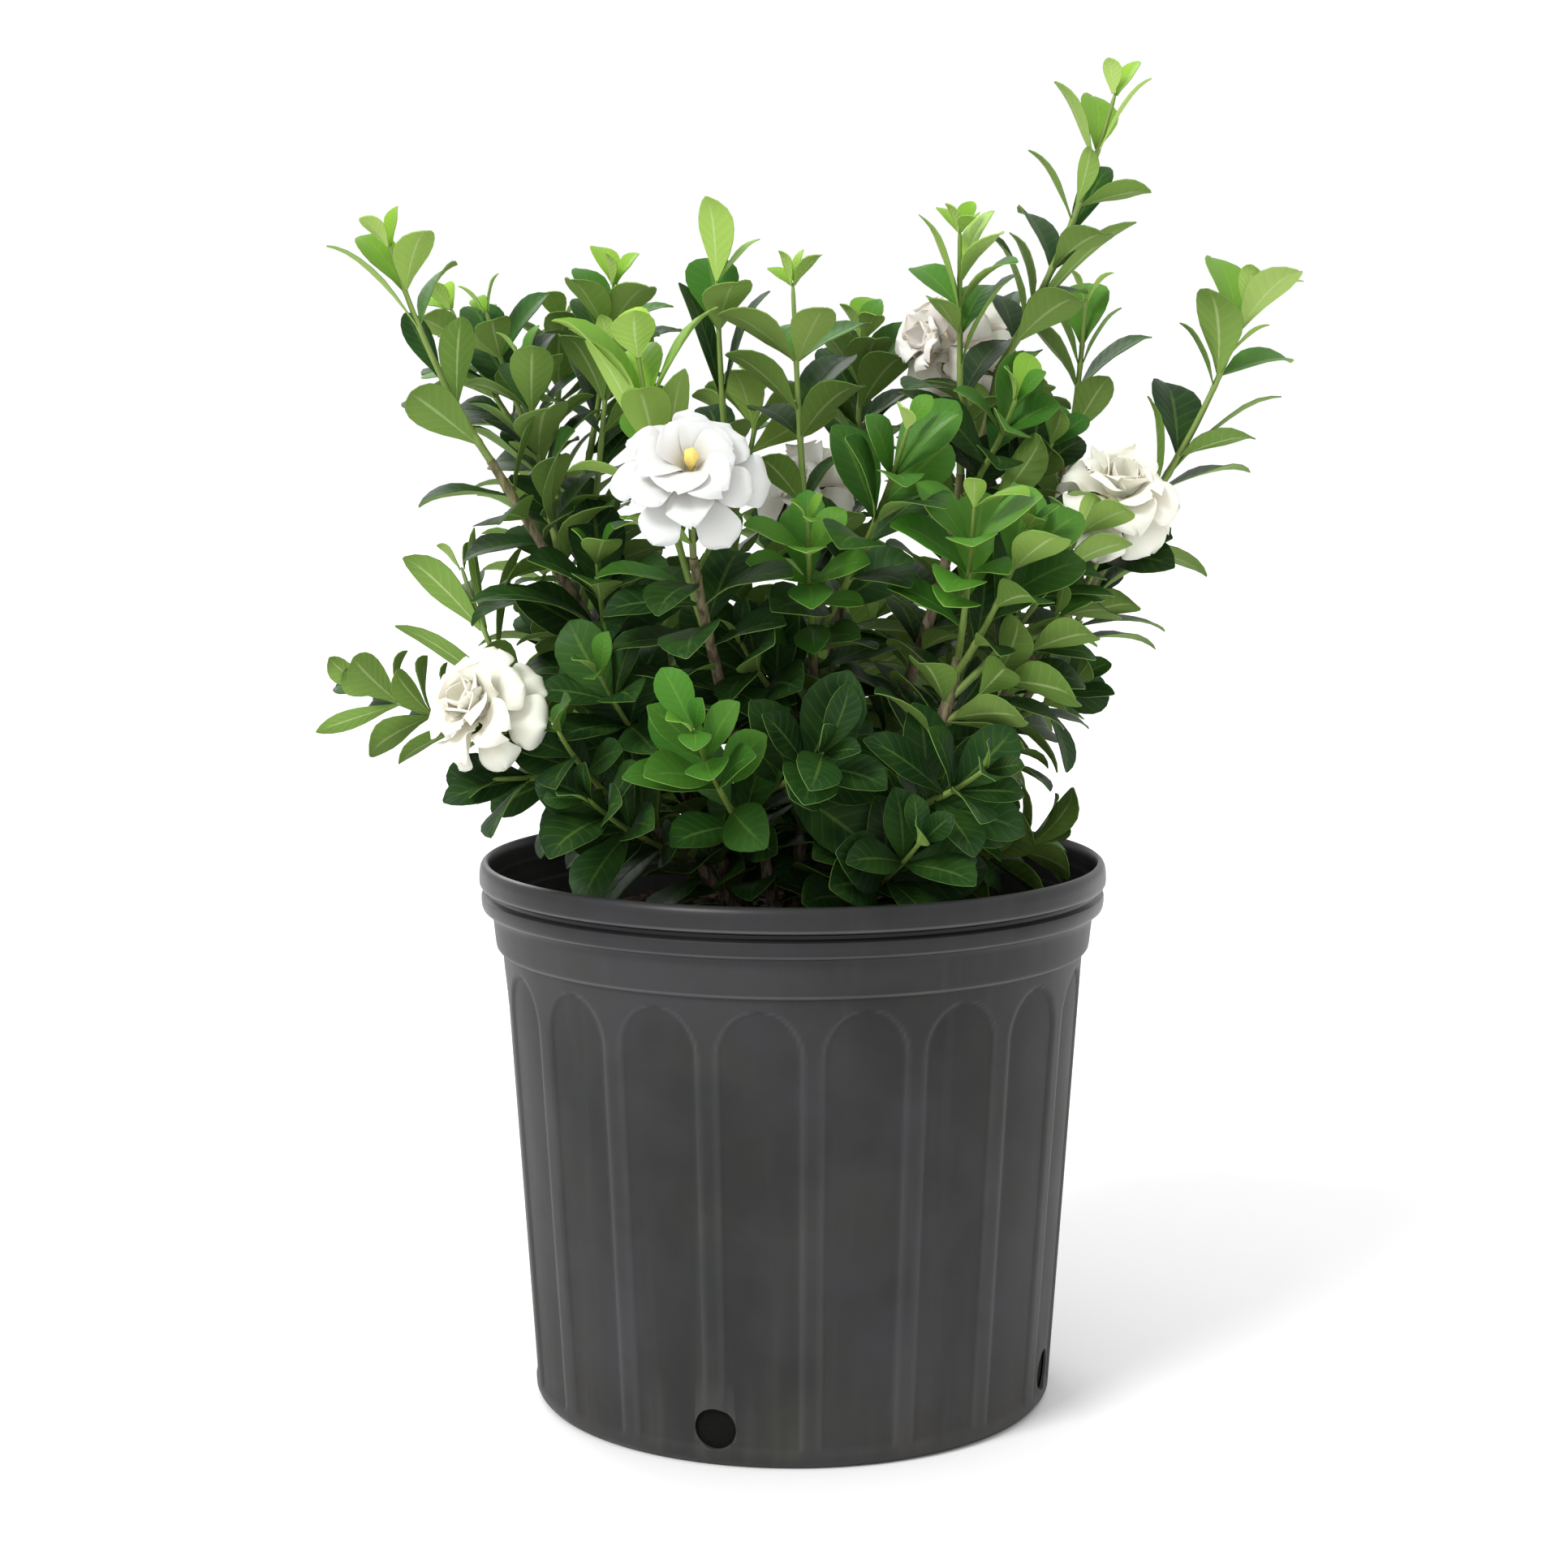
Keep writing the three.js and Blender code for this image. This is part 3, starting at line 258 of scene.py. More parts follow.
bpy.ops.mesh.primitive_circle_add(vertices=POT_COLUMNS, radius=pot_profile[0][0], fill_type="NGON")
pot = bpy.context.object
pot.name = "pot_moulding"
bpy.ops.object.mode_set(mode="EDIT")
bpy.ops.mesh.select_all(action="SELECT")
bpy.ops.transform.translate(value=(0, 0, pot_profile[0][1]))
for (radius, height), (wider, higher) in zip(pot_profile, pot_profile[1:]):
    bpy.ops.mesh.extrude_region_move(TRANSFORM_OT_translate={"value": (0, 0, higher - height)})
    bpy.ops.transform.resize(value=(wider / radius, wider / radius, 1))
bpy.ops.mesh.select_all(action="SELECT")
bpy.ops.mesh.normals_make_consistent(inside=False)
bpy.ops.object.mode_set(mode="OBJECT")

# The panels are pressed into the outside of the wall. Each corner remembers how far it is pressed in, which
# also darkens the panel with painted shade, and whether it lies on the ridge round a panel, where a thin
# highlight is painted.
marks = np.zeros((len(pot.data.vertices), 4))
for vertex in pot.data.vertices:
    radius = math.hypot(vertex.co.x, vertex.co.y)
    height = vertex.co.z
    outside = radius > wall_radius(height) - 1
    if outside and 7 < height < ARCH_TOP:
        azimuth = math.degrees(math.atan2(vertex.co.x, -vertex.co.y))
        period = 360 / PANELS
        offset = abs((azimuth + period / 2) % period - period / 2)
        rise = max(0, (height - ARCH_SPRING) / (ARCH_TOP - ARCH_SPRING))
        half = PANEL_HALF * math.sqrt(1 - rise ** 2)
        outside_by = (offset - half) * min(1, 0.35 + half / PANEL_HALF)
        share = min(1, max(0, 0.5 - outside_by / PANEL_EDGE))
        foot = min(1, max(0, (height - 6.5) / 3))
        depth = PANEL_DEPTH * share * share * (3 - 2 * share) * foot
        marks[vertex.index, 0] = share * foot
        marks[vertex.index, 1] = foot * math.exp(-((outside_by - RIDGE_PLACE) / RIDGE_WIDTH) ** 2)
        vertex.co.x *= (radius - depth) / radius
        vertex.co.y *= (radius - depth) / radius
pressing = pot.data.attributes.new("pressing", "FLOAT_COLOR", "POINT")
pressing.data.foreach_set("color", marks.astype(np.float32).ravel())
pot.scale = (0.001, 0.001, 0.001)
pot.rotation_euler = (0, 0, math.radians(PANEL_PHASE))
bpy.ops.object.transform_apply(location=False, rotation=True, scale=True)
bpy.ops.object.select_all(action="DESELECT")

for index in range(DRAIN_HOLES):
    azimuth = math.radians(PANEL_PHASE - 180 / PANELS + index * 360 / DRAIN_HOLES)
    reach = WALL_FOOT_RADIUS / 1000
    bpy.ops.mesh.primitive_cylinder_add(
        vertices=40, radius=DRAIN_RADIUS / 1000, depth=0.03,
        location=(reach * math.sin(azimuth), -reach * math.cos(azimuth), DRAIN_HEIGHT / 1000),
        rotation=(math.pi / 2, 0, azimuth),
    )
    drill = bpy.context.object
    cut = pot.modifiers.new("drain", "BOOLEAN")
    cut.operation = "DIFFERENCE"
    cut.solver = "EXACT"
    cut.object = drill
    bpy.ops.object.select_all(action="DESELECT")
    bpy.context.view_layer.objects.active = pot
    bpy.ops.object.modifier_apply(modifier="drain")
    bpy.data.objects.remove(drill)


def smooth(piece, degrees):
    """Rounds the shading of a piece, apart from its edges that are sharper than that."""
    bpy.ops.object.select_all(action="DESELECT")
    piece.select_set(True)
    bpy.context.view_layer.objects.active = piece
    bpy.ops.object.shade_smooth_by_angle(angle=math.radians(degrees))
    piece.select_set(False)


smooth(pot, 35)

plastic = Finish("charcoal_plastic", specular_ior_level=0.24)
blotches = plastic.noise(9, 4)
clouds = plastic.noise(28, 3)
streaks = plastic.noise(60, 3, stretch=(1, 1, 0.06))
grain = plastic.noise(900, 2)
pressed, ridge, _ = plastic.attribute("pressing")
height_up = plastic.height()
dust = plastic.steps(height_up + 0.03 * clouds, 0.09, 0.015) * plastic.steps(streaks, 0.35, 0.7)
# Painted shade: a dark line in the groove under the rim's roll.
groove = plastic.steps((height_up - GROOVE_HEIGHT).size(), 0.0022, 0.0008)
# Painted highlights: thin light lines along the edges of the rim's bands.
bands = sum(plastic.steps((height_up - band).size(), 0.0011, 0.0003) for band in BAND_HEIGHTS)
tinted = plastic.blend(plastic.steps(blotches, 0.35, 0.68), (33, 34, 33), (50, 49, 52))
warm = plastic.blend(plastic.steps(clouds, 0.45, 0.75, 0, 0.55), tinted, (48, 50, 43))
streaked = plastic.blend(plastic.steps(streaks, 0.5, 0.8, 0, 0.4), warm, (62, 62, 63))
# The rim above its bands is darker with painted shade, and glossier.
rolled = plastic.steps(height_up, 0.214, 0.2215)
# Painted shade in the pressed panels, in the groove and on the rim.
shaded = plastic.blend(pressed * 0.14 + groove * 0.7 + rolled * 0.4, streaked, (14, 14, 14))
# Painted highlights on the ridges round the panels and on the rim's bands, made patchy by the clouds.
highlighted = plastic.blend((ridge * 0.2 + bands * 0.5) * (0.3 + 1.2 * clouds), shaded, (96, 96, 98))
plastic.feed(
    Base_Color=plastic.blend(dust * 0.2, highlighted, (84, 80, 72)),
    Roughness=0.34 + 0.16 * clouds + 0.1 * streaks + 0.15 * dust + 0.1 * pressed - 0.12 * rolled,
)
plastic.bump(0.3 * grain + 0.7 * clouds, 0.2, 0.0004)
pot.data.materials.append(plastic.material)
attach(pot, "root")
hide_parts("pot")

# The potting mix: dark bark chips and peat, mounded a little round the stems and about 35 mm below
# the rim. It fills the pot. The chips on top are separate bits, each half sunk.
SOIL_TOP = 205
SOIL_MOUND = 5
SOIL_RINGS = 54
SOIL_COLUMNS = 180
CHIPS = 900
CHIP_SEED = 500
POT_GAP = 0.7


class Skins:
    """The skins that one piece is made of, in millimetres, with a pattern place and a tone for each corner.
    A tone is 1 on an upper face and 0 on an underside, then age, to which the leaves of the shoots add
    painted shade low in the crown and painted light high in it, then a chance value."""

    def __init__(self):
        self.points, self.faces, self.places, self.tones, self.finishes = [], [], [], [], []
        self.count = 0

    def add(self, points, faces, places, tones, finish=0):
        self.faces.extend(tuple(corner + self.count for corner in face) for face in faces)
        self.finishes.extend([finish] * len(faces))
        self.points.append(points)
        self.places.append(places)
        self.tones.append(np.broadcast_to(tones, (len(points), 3)))
        self.count += len(points)

    def piece(self, name, finishes, degrees=50):
        mesh = bpy.data.meshes.new(name)
        mesh.from_pydata((np.concatenate(self.points) / 1000).tolist(), [], self.faces)
        corners = np.empty(len(mesh.loops), dtype=np.int32)
        mesh.loops.foreach_get("vertex_index", corners)
        pattern = mesh.uv_layers.new(name="pattern")
        pattern.data.foreach_set("uv", np.concatenate(self.places)[corners].astype(np.float32).ravel())
        tone = mesh.attributes.new("tone", "FLOAT_COLOR", "POINT")
        tones = np.concatenate(self.tones)
        full = np.concatenate([tones, np.ones((len(tones), 1))], axis=1)
        tone.data.foreach_set("color", full.astype(np.float32).ravel())
        mesh.polygons.foreach_set("material_index", np.array(self.finishes, dtype=np.int32))
        for finish in finishes:
            mesh.materials.append(finish)
        mesh.update()
        piece = bpy.data.objects.new(name, mesh)
        bpy.context.collection.objects.link(piece)
        smooth(piece, degrees)
        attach(piece, "root")
        return piece


def random_source(seed):
    """Seeded random numbers, the same ones as the solids are drawn with."""
    state = seed

    def draw():
        nonlocal state
        state = (state + 0x6D2B79F5) & 0xFFFFFFFF
        mixed = ((state ^ (state >> 15)) * (1 | state)) & 0xFFFFFFFF
        mixed = ((mixed + (((mixed ^ (mixed >> 7)) * (61 | mixed)) & 0xFFFFFFFF)) & 0xFFFFFFFF) ^ mixed
        return (mixed ^ (mixed >> 14)) / 4294967296
    return draw


def soil_height(x, y):
    mound = SOIL_MOUND * (1 - math.hypot(x, y) / RIM_RADIUS)
    clods = 3.4 * noise.noise(Vector((x / 26, y / 26, 3)))
    crumbs = 1.7 * noise.noise(Vector((x / 7, y / 7, 8)))
    return SOIL_TOP + mound + (clods + crumbs)


soil = Skins()
soil_rim = RIM_RADIUS - 11.7
soil_rows = [soil_rim * ring / SOIL_RINGS for ring in range(1, SOIL_RINGS + 1)]
soil_points = [(0, 0, soil_height(0, 0))]
for radius in soil_rows:
    for column in range(SOIL_COLUMNS):
        azimuth = 2 * math.pi * (column + 0.37 * math.sin(radius)) / SOIL_COLUMNS
        x, y = radius * math.cos(azimuth), radius * math.sin(azimuth)
        sunk = 2 if radius == soil_rim else 0
        soil_points.append((x, y, soil_height(x, y) - sunk))
for radius, height in [
        (wall_radius(INNER_TOP_HEIGHT) - WALL - POT_GAP, INNER_TOP_HEIGHT),
        (WALL_FOOT_RADIUS - WALL - POT_GAP, FLOOR + 0.3)]:
    for column in range(SOIL_COLUMNS):
        azimuth = 2 * math.pi * column / SOIL_COLUMNS
        soil_points.append((radius * math.cos(azimuth), radius * math.sin(azimuth), height))
soil_faces = []
for column in range(SOIL_COLUMNS):
    beside = (column + 1) % SOIL_COLUMNS
    soil_faces.append((0, 1 + column, 1 + beside))
    for ring in range(SOIL_RINGS + 1):
        low, high = 1 + ring * SOIL_COLUMNS, 1 + (ring + 1) * SOIL_COLUMNS
        soil_faces.append((low + column, high + column, high + beside, low + beside))
last_row = 1 + (SOIL_RINGS + 1) * SOIL_COLUMNS
soil_faces.append(tuple(last_row + column for column in range(SOIL_COLUMNS))[::-1])
soil.add(np.array(soil_points), soil_faces, np.zeros((len(soil_points), 2)), (1, 0.5, 0.5))

bpy.ops.mesh.primitive_cube_add(size=1)
chip = bpy.context.object
bpy.ops.object.mode_set(mode="EDIT")
bpy.ops.mesh.bevel(offset=0.16, segments=1, affect="EDGES")
bpy.ops.object.mode_set(mode="OBJECT")
chip_points = np.array([vertex.co[:] for vertex in chip.data.vertices])
chip_faces = [tuple(face.vertices) for face in chip.data.polygons]
bpy.data.objects.remove(chip)
draw = random_source(CHIP_SEED)
for _ in range(CHIPS):
    radius = (soil_rim - 7) * math.sqrt(draw())
    azimuth = 2 * math.pi * draw()
    x, y = radius * math.cos(azimuth), radius * math.sin(azimuth)
    length, breadth, depth = 4 + 9 * draw() ** 2, 2 + 3.4 * draw(), 1.2 + 1.8 * draw()
    spin, tilt = 2 * math.pi * draw(), 0.5 * (draw() - 0.5)
    bit = chip_points * (length, breadth, depth)
    bit[:, 2] += bit[:, 0] * math.sin(tilt) + 0.25 * np.sin(3 * bit[:, 0] + bit[:, 1])
    laid = np.stack([
        bit[:, 0] * math.cos(spin) - bit[:, 1] * math.sin(spin) + x,
        bit[:, 0] * math.sin(spin) + bit[:, 1] * math.cos(spin) + y,
        bit[:, 2] + soil_height(x, y) + 0.3,
    ], axis=1)
    soil.add(laid, chip_faces, np.zeros((len(laid), 2)), (1, draw(), draw()))

mix = Finish("potting_mix", roughness=0.95, specular_ior_level=0.2)
_, chip_tone, _ = mix.attribute("tone")
fibres = mix.noise(700, 4)
lumps = mix.noise(160, 3)
peat = mix.blend(mix.steps(lumps, 0.35, 0.7), (30, 22, 17), (58, 44, 34))
chips = mix.blend(mix.steps(chip_tone, 0.62, 1, 0, 0.75), peat, (104, 82, 62))
# Painted shade: the mix turns near black towards the bottom of the pot, where little light reaches it.
low_shade = mix.steps(mix.height(), 0.198, 0.15)
mix.feed(Base_Color=mix.blend(low_shade, chips, (8, 7, 6)))
mix.bump(0.6 * fibres + lumps, 0.8, 0.0012)
soil_piece = soil.piece("potting_mix", [mix.material], 40)
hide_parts("soil")

# The woody stems: upright branches of grey-brown bark that rise from the buried crown, fork, and
# turn green towards their tips. Old leaf scars ring them.
CROWN_HEIGHT = 186
STEM_SIDES = 10
SCAR_SPACING = 15
SCAR_WIDTH = 0.09
# Name, start or the stem and the share of it that this one forks from, two steering points or more with
# the end as the last, and the radius at each end.
WOOD = [
    ("left_main", (-15, 0, CROWN_HEIGHT), (-28, 0, 250), (-75, 5, 320), (-131, -9, 416), 3.6, 2),
    ("low_left", (-11.5, -9.5, CROWN_HEIGHT), (-22, -18, 235), (-62, -32, 262), (-116, -45, 298), 3, 1.8),
    ("front", (-2, -15, CROWN_HEIGHT), (-12, -32, 260), (-33, -55, 320), (-41, -84, 378), 3.2, 2),
    ("centre", (0, 0, CROWN_HEIGHT), (2, -12, 250), (9, -24, 300), (9, -25, 345), 3.2, 2),
    ("right_low", (9.5, -11.5, CROWN_HEIGHT), (20, -55, 235), (62, -84, 290), (69, -65, 335), 4.2, 2.4),
    ("far_right", (15, -1, CROWN_HEIGHT), (40, 2, 250), (95, 0, 310), (152, 0, 392), 3.4, 2),
    ("tall_right", (12.5, 8.5, CROWN_HEIGHT), (22, 8, 260), (68, 0, 340), (73, -5, 410), 3.6, 2),
    ("back_right", (5, 14, CROWN_HEIGHT), (30, 42, 260), (100, 62, 320), (126, 57, 420), 3.4, 1.8),
    ("back_mid", (-4, 14.5, CROWN_HEIGHT), (0, 52, 260), (25, 72, 330), (28, 70, 400), 3.2, 1.9),
    ("back_left", (-11.5, 9.5, CROWN_HEIGHT), (-32, 50, 260), (-85, 75, 330), (-110, 80, 420), 3.4, 1.9),
    ("centre_left", ("centre", 0.62), (2, -10, 315), (-28, 12, 350), (-28, 12, 402), 1.9, 1.6),
    ("tall_fork", ("tall_right", 0.8), (72, 4, 392), (84, 8, 420), (90, 10, 455), 2, 1.8),
    ("right_side", ("far_right", 0.2), (45, 10, 240), (90, 8, 280), (114, 6, 330), 2.4, 1.7),
    ("back_far", ("back_mid", 0.22), (6, 80, 250), (12, 128, 290), (8, 150, 350), 2.4, 1.8),
    ("back_far_left", ("back_left", 0.25), (-40, 75, 250), (-88, 112, 285), (-108, 130, 335), 2.4, 1.8),
    ("back_far_right", ("back_right", 0.22), (36, 75, 250), (86, 112, 285), (104, 126, 340), 2.4, 1.8),
]


def unit(vector):
    return vector / math.sqrt(vector @ vector)


class Curve:
    """A Bezier curve through its first and last point."""

    def __init__(self, *points):
        self.points = np.array(points, dtype=float)

    def point(self, share):
        last = len(self.points) - 1
        weights = [math.comb(last, i) * share ** i * (1 - share) ** (last - i) for i in range(last + 1)]
        return np.array(weights) @ self.points

    def tangent(self, share):
        return unit(self.point(min(1, share + 1e-4)) - self.point(max(0, share - 1e-4)))

    def length(self):
        places = np.array([self.point(step / 200) for step in range(201)])
        return float(np.sqrt((np.diff(places, axis=0) ** 2).sum(axis=1)).sum())


def stem_axes(curve, share):
    """Directions at a place on a stem: along it, and the two that turns round it are measured from."""
    stem = curve.tangent(share)
    right = unit(np.cross(stem, (0, 1, 0)))
    return stem, right, np.cross(stem, right)


def outward_at(right, upward, degrees):
    angle = math.radians(degrees)
    return right * math.cos(angle) + upward * math.sin(angle)


def add_stem(skins, curve, radius_at, shares, tone, finish, sides=STEM_SIDES):
    """A round stem along a curve, closed at both ends."""
    rows = []
    for share in shares:
        _, right, upward = stem_axes(curve, share)
        centre = curve.point(share)
        turns = 360 * np.arange(sides) / sides
        rows.append([centre + radius_at(share) * outward_at(right, upward, turn) for turn in turns])
    faces = [tuple(range(sides))[::-1], tuple((len(rows) - 1) * sides + side for side in range(sides))]
    for row in range(len(rows) - 1):
        for side in range(sides):
            beside = (side + 1) % sides
            low, high = row * sides, (row + 1) * sides
            faces.append((low + side, low + beside, high + beside, high + side))
    places = np.array([(side / sides, share) for share in shares for side in range(sides)])
    tones = np.array([tone(share) for share in shares for _ in range(sides)])
    skins.add(np.array(rows).reshape(-1, 3), faces, places, tones, finish)


wood_curves = {}
wood = Skins()
for index, (name, start, *steering, start_radius, end_radius) in enumerate(WOOD):
    forked = isinstance(start[0], str)
    curve = Curve(wood_curves[start[0]].point(start[1]) if forked else start, *steering)
    wood_curves[name] = curve
    length = curve.length()

    def scarred(share):
        along = share * length / SCAR_SPACING + 0.13 * index
        scar = math.exp(-((along % 1 - 0.5) / SCAR_WIDTH) ** 2)
        knobbly = 0.07 * noise.noise(Vector((share * length / 6, index * 7, 0)))
        return (start_radius + (end_radius - start_radius) * share) * (1 + 0.13 * scar + knobbly)

    def bark_tone(share):
        return 1, min(1, 0.55 * forked + share * 0.75), 0.5

    add_stem(wood, curve, scarred, np.linspace(0, 1, int(length / 1.6)), bark_tone, 0)

bark = Finish("bark", specular_ior_level=0.3)
_, bark_age, _ = bark.attribute("tone")
cracks = bark.noise(420, 4, stretch=(1, 1, 0.16))
lichen = bark.noise(130, 3)
old_bark = bark.blend(bark.steps(cracks, 0.38, 0.62), (84, 70, 57), (142, 126, 106))
new_bark = bark.blend(bark.steps(cracks, 0.35, 0.65), (96, 98, 58), (132, 138, 84))
greening = bark.steps(bark_age + 0.35 * (lichen - 0.5), 0.5, 0.95)
bark.feed(Base_Color=bark.blend(greening, old_bark, new_bark), Roughness=0.85 - 0.25 * greening)
bark.bump(cracks, 0.6, 0.0006)
wood_piece = wood.piece("branches", [bark.material], 60)
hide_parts("woody_stems")

# The blooms: double gardenia flowers of thick soft petals, in whorls that spiral from a green tube.
# One is open and white with a yellow stigma; the others age to cream and fade with tan edges.
PLACES = 6
PINWHEEL = 16
CORE_RADIUS = 5.5
CORE_TAPER = 1.2
PETAL_ROOT = 0.87
PETAL_WAVE = 0.8
WHORL_STEP = 2.8
WHORL_HEIGHT = 1.7
BLOOM_TUBE = 15
TUBE_RADIUS = 2.6
# Each whorl: the share of its petals that the solids hold too, how far they spread from the axis, their
# length, width, bow and fold. Each bloom: name, centre, direction, size, whorls, seed and look.
OPEN_WHORLS = [(1, 94, 34, 23, 55, -8), (1, 66, 28, 19, 40, 10), (0.5, 42, 25, 20, 50, 16)]
FULL_WHORLS = [(1, 104, 30, 22, 60, -14), (1, 72, 27, 20, 44, 8), (0.5, 34, 19, 20, -24, 20)]
FADED_WHORLS = [(1, 116, 32, 18, 50, -20), (1, 82, 29, 19, 60, -10), (0.5, 30, 22, 15, 30, 22)]
BLOOMS = [
    ("bloom_front", (-41, -112, 412), (0.03, -0.85, 0.53), 1, OPEN_WHORLS, 11, "white"),
    ("bloom_left", (-130, -67, 313), (-0.5, -0.66, 0.5), 1, FULL_WHORLS, 12, "cream"),
    ("bloom_right", (138, -36, 400), (0.15, -0.62, 0.77), 1, FULL_WHORLS, 23, "cream"),
    ("bloom_upper", (68, 34, 466), (-0.62, -0.55, 0.2), 1, FADED_WHORLS, 14, "faded"),
    ("bloom_back", (4, 18, 402), (-0.2, -0.8, 0.4), 0.9, FADED_WHORLS, 15, "faded"),
]


def leaf_outline(s):
    """How wide a leaf is at a share of its length, against its widest place."""
    return np.abs(np.sin(math.pi * s ** 1.5)) ** 0.65


def petal_outline(s):
    return 1.35 * s ** 0.85 * np.sqrt(np.abs(1 - s ** 5))


def as_array(place):
    return np.array(place, dtype=float)


class Blade:
    """A leaf or petal from base to tip. It bows towards the side that "up" points to, and its halves
    are folded up along the midrib. The roll, the arc and the fold are in degrees."""

    def __init__(self, base, tip, up, roll, arc, fold, width, wave, outline):
        roll, arc, self.fold = math.radians(roll), math.radians(arc), math.radians(fold)
        along = tip - base
        self.length = math.sqrt(along @ along)
        self.along = along / self.length
        facing = unit(up - (up @ self.along) * self.along)
        self.facing = facing * math.cos(roll) + np.cross(self.along, facing) * math.sin(roll)
        self.across = np.cross(self.along, self.facing)
        self.bow = 0.02 if abs(arc) < 0.02 else arc
        self.base, self.tip, self.width, self.wave, self.outline = base, tip, width, wave, outline

    def frame(self, s):
        """Points of the midrib and the normals there."""
        scale = self.length / (2 * math.sin(self.bow / 2))
        bend = (self.bow * (s - 0.5))[:, None]
        middle = self.base + scale * (
            self.along * (np.sin(bend) + math.sin(self.bow / 2))
            + self.facing * (np.cos(bend) - math.cos(self.bow / 2)))
        return middle, self.facing * np.cos(bend) + self.along * np.sin(bend)

    def surface(self, s, sideways, lift):
        """Points beside the midrib, lifted off it."""
        middle, normal = self.frame(s)
        return middle + self.across * sideways[:, None] + normal * lift[:, None]

    def points(self, s, side):
        half = self.width / 2 * self.outline(s)
        wave = self.wave * np.sin(9 * s + 2 * side) * side * side
        lift = half * np.abs(side) * math.sin(self.fold) + wave
        return self.surface(s, half * side * math.cos(self.fold), lift)


# Places already taken, each as a ball with its radius, its owner, and 1 at a root, where blades of one
# owner may meet. A new blade or stem keeps clear of them, as in the solids.
MOST_BALLS = 200000
LEAF_REACH = 2
BALL_SPACING = 3
ROW_SPACING = 3.6
BROAD_BLADE = 11
ROOT_SHARE = 0.2
OWN_EASE = 0.65
RIM_CLEARANCE = 6
SOIL_CLEARANCE = 4
WALL_CLEARANCE = 12
taken_points = np.zeros((MOST_BALLS, 3))
taken_facts = np.zeros((MOST_BALLS, 3))
taken_count = 0


def take(points, facts):
    global taken_count
    taken_points[taken_count:taken_count + len(points)] = points
    taken_facts[taken_count:taken_count + len(points)] = facts
    taken_count += len(points)


def is_clear(points, facts, ease=1.0):
    """Whether balls keep off those already taken. A smaller ease lets them come closer."""
    margin = 10 if ease == 1 else 15
    low, high = points.min(axis=0) - margin, points.max(axis=0) + margin
    places = taken_points[:taken_count]
    near = np.nonzero(((places > low) & (places < high)).all(axis=1))[0]
    if not len(near):
        return True
    gaps = ((points[:, None, :] - places[near][None, :, :]) ** 2).sum(axis=2)
    others = taken_facts[near]
    same = facts[:, None, 1] == others[None, :, 1]
    roots = (facts[:, None, 2] > 0) & (others[None, :, 2] > 0)
    reach = (facts[:, None, 0] + others[None, :, 0]) * np.where(same, OWN_EASE, 1) * ease
    return not ((gaps < reach ** 2) & ~(same & roots)).any()


def clear_of_pot(points):
    radius = np.hypot(points[:, 0], points[:, 1])
    above_soil = points[:, 2] > SOIL_TOP + SOIL_MOUND + SOIL_CLEARANCE
    above_rim = points[:, 2] > POT_HEIGHT + RIM_CLEARANCE
    return (above_rim | (above_soil & (radius < RIM_RADIUS - WALL_CLEARANCE))).all()


def curve_balls(curve, owner, start_radius, end_radius):
    steps = math.ceil(curve.length() / BALL_SPACING)
    shares = np.arange(steps + 1) / steps
    points = np.array([curve.point(share) for share in shares])
    reach = start_radius + (end_radius - start_radius) * shares + 0.8
    return points, np.stack([reach, np.full(steps + 1, owner), np.ones(steps + 1)], axis=1)


def blade_balls(blade, owner):
    rows = math.ceil(blade.length / ROW_SPACING)
    sides = np.array([-1, -0.5, 0, 0.5, 1] if blade.width > BROAD_BLADE else [-1, 0, 1])
    s = np.repeat(np.arange(1, rows + 1) / rows, len(sides))
    side = np.tile(sides, rows)
    facts = np.stack([np.full(len(s), LEAF_REACH), np.full(len(s), owner), s < ROOT_SHARE], axis=1)
    return blade.points(s, side), facts


for index, (name, *_, start_radius, end_radius) in enumerate(WOOD):
    take(*curve_balls(wood_curves[name], index, start_radius, end_radius))


def bloom_axes(facing):
    """The direction a bloom faces, and the two that turns round it are measured from."""
    axis = unit(as_array(facing))
    right = unit(np.cross((0, 0, 1), axis))
    return axis, right, np.cross(axis, right)


def bloom_petals(centre, facing, size, whorls, seed):
    """The petals of a bloom, whorl by whorl, each marked as one of the solid's or as an added one."""
    axis, right, upward = bloom_axes(facing)
    draw = random_source(seed)

    def jitter(amount):
        return (draw() - 0.5) * 2 * amount

    petals = []
    for whorl, (share, spread, length, width, arc, fold) in enumerate(whorls):
        for place in range(PLACES):
            shift = jitter(3)
            lean = math.radians(spread + jitter(6))
            reach = size * length * (1 + jitter(0.09))
            roll = PINWHEEL + jitter(4)
            bow = arc + jitter(10)
            crease = fold + jitter(5)
            breadth = size * width * (1 + jitter(0.08))
            added = (place * share) % 1 != 0
            if added:
                reach, breadth, lean = reach * 0.9, breadth * 0.95, lean * 0.8
            outward = outward_at(right, upward, place * 60 + whorl * 30 + shift)
            height = (whorl - 1) * WHORL_STEP
            middle = as_array(centre)
            base = middle + outward * (CORE_RADIUS - whorl * CORE_TAPER) * PETAL_ROOT + axis * height
            tip = middle + axis * (reach * math.cos(lean) + height) + outward * reach * math.sin(lean)
            petal = Blade(base, tip, axis, roll, bow, crease, breadth, PETAL_WAVE, petal_outline)
            petals.append((added, petal))
    return petals


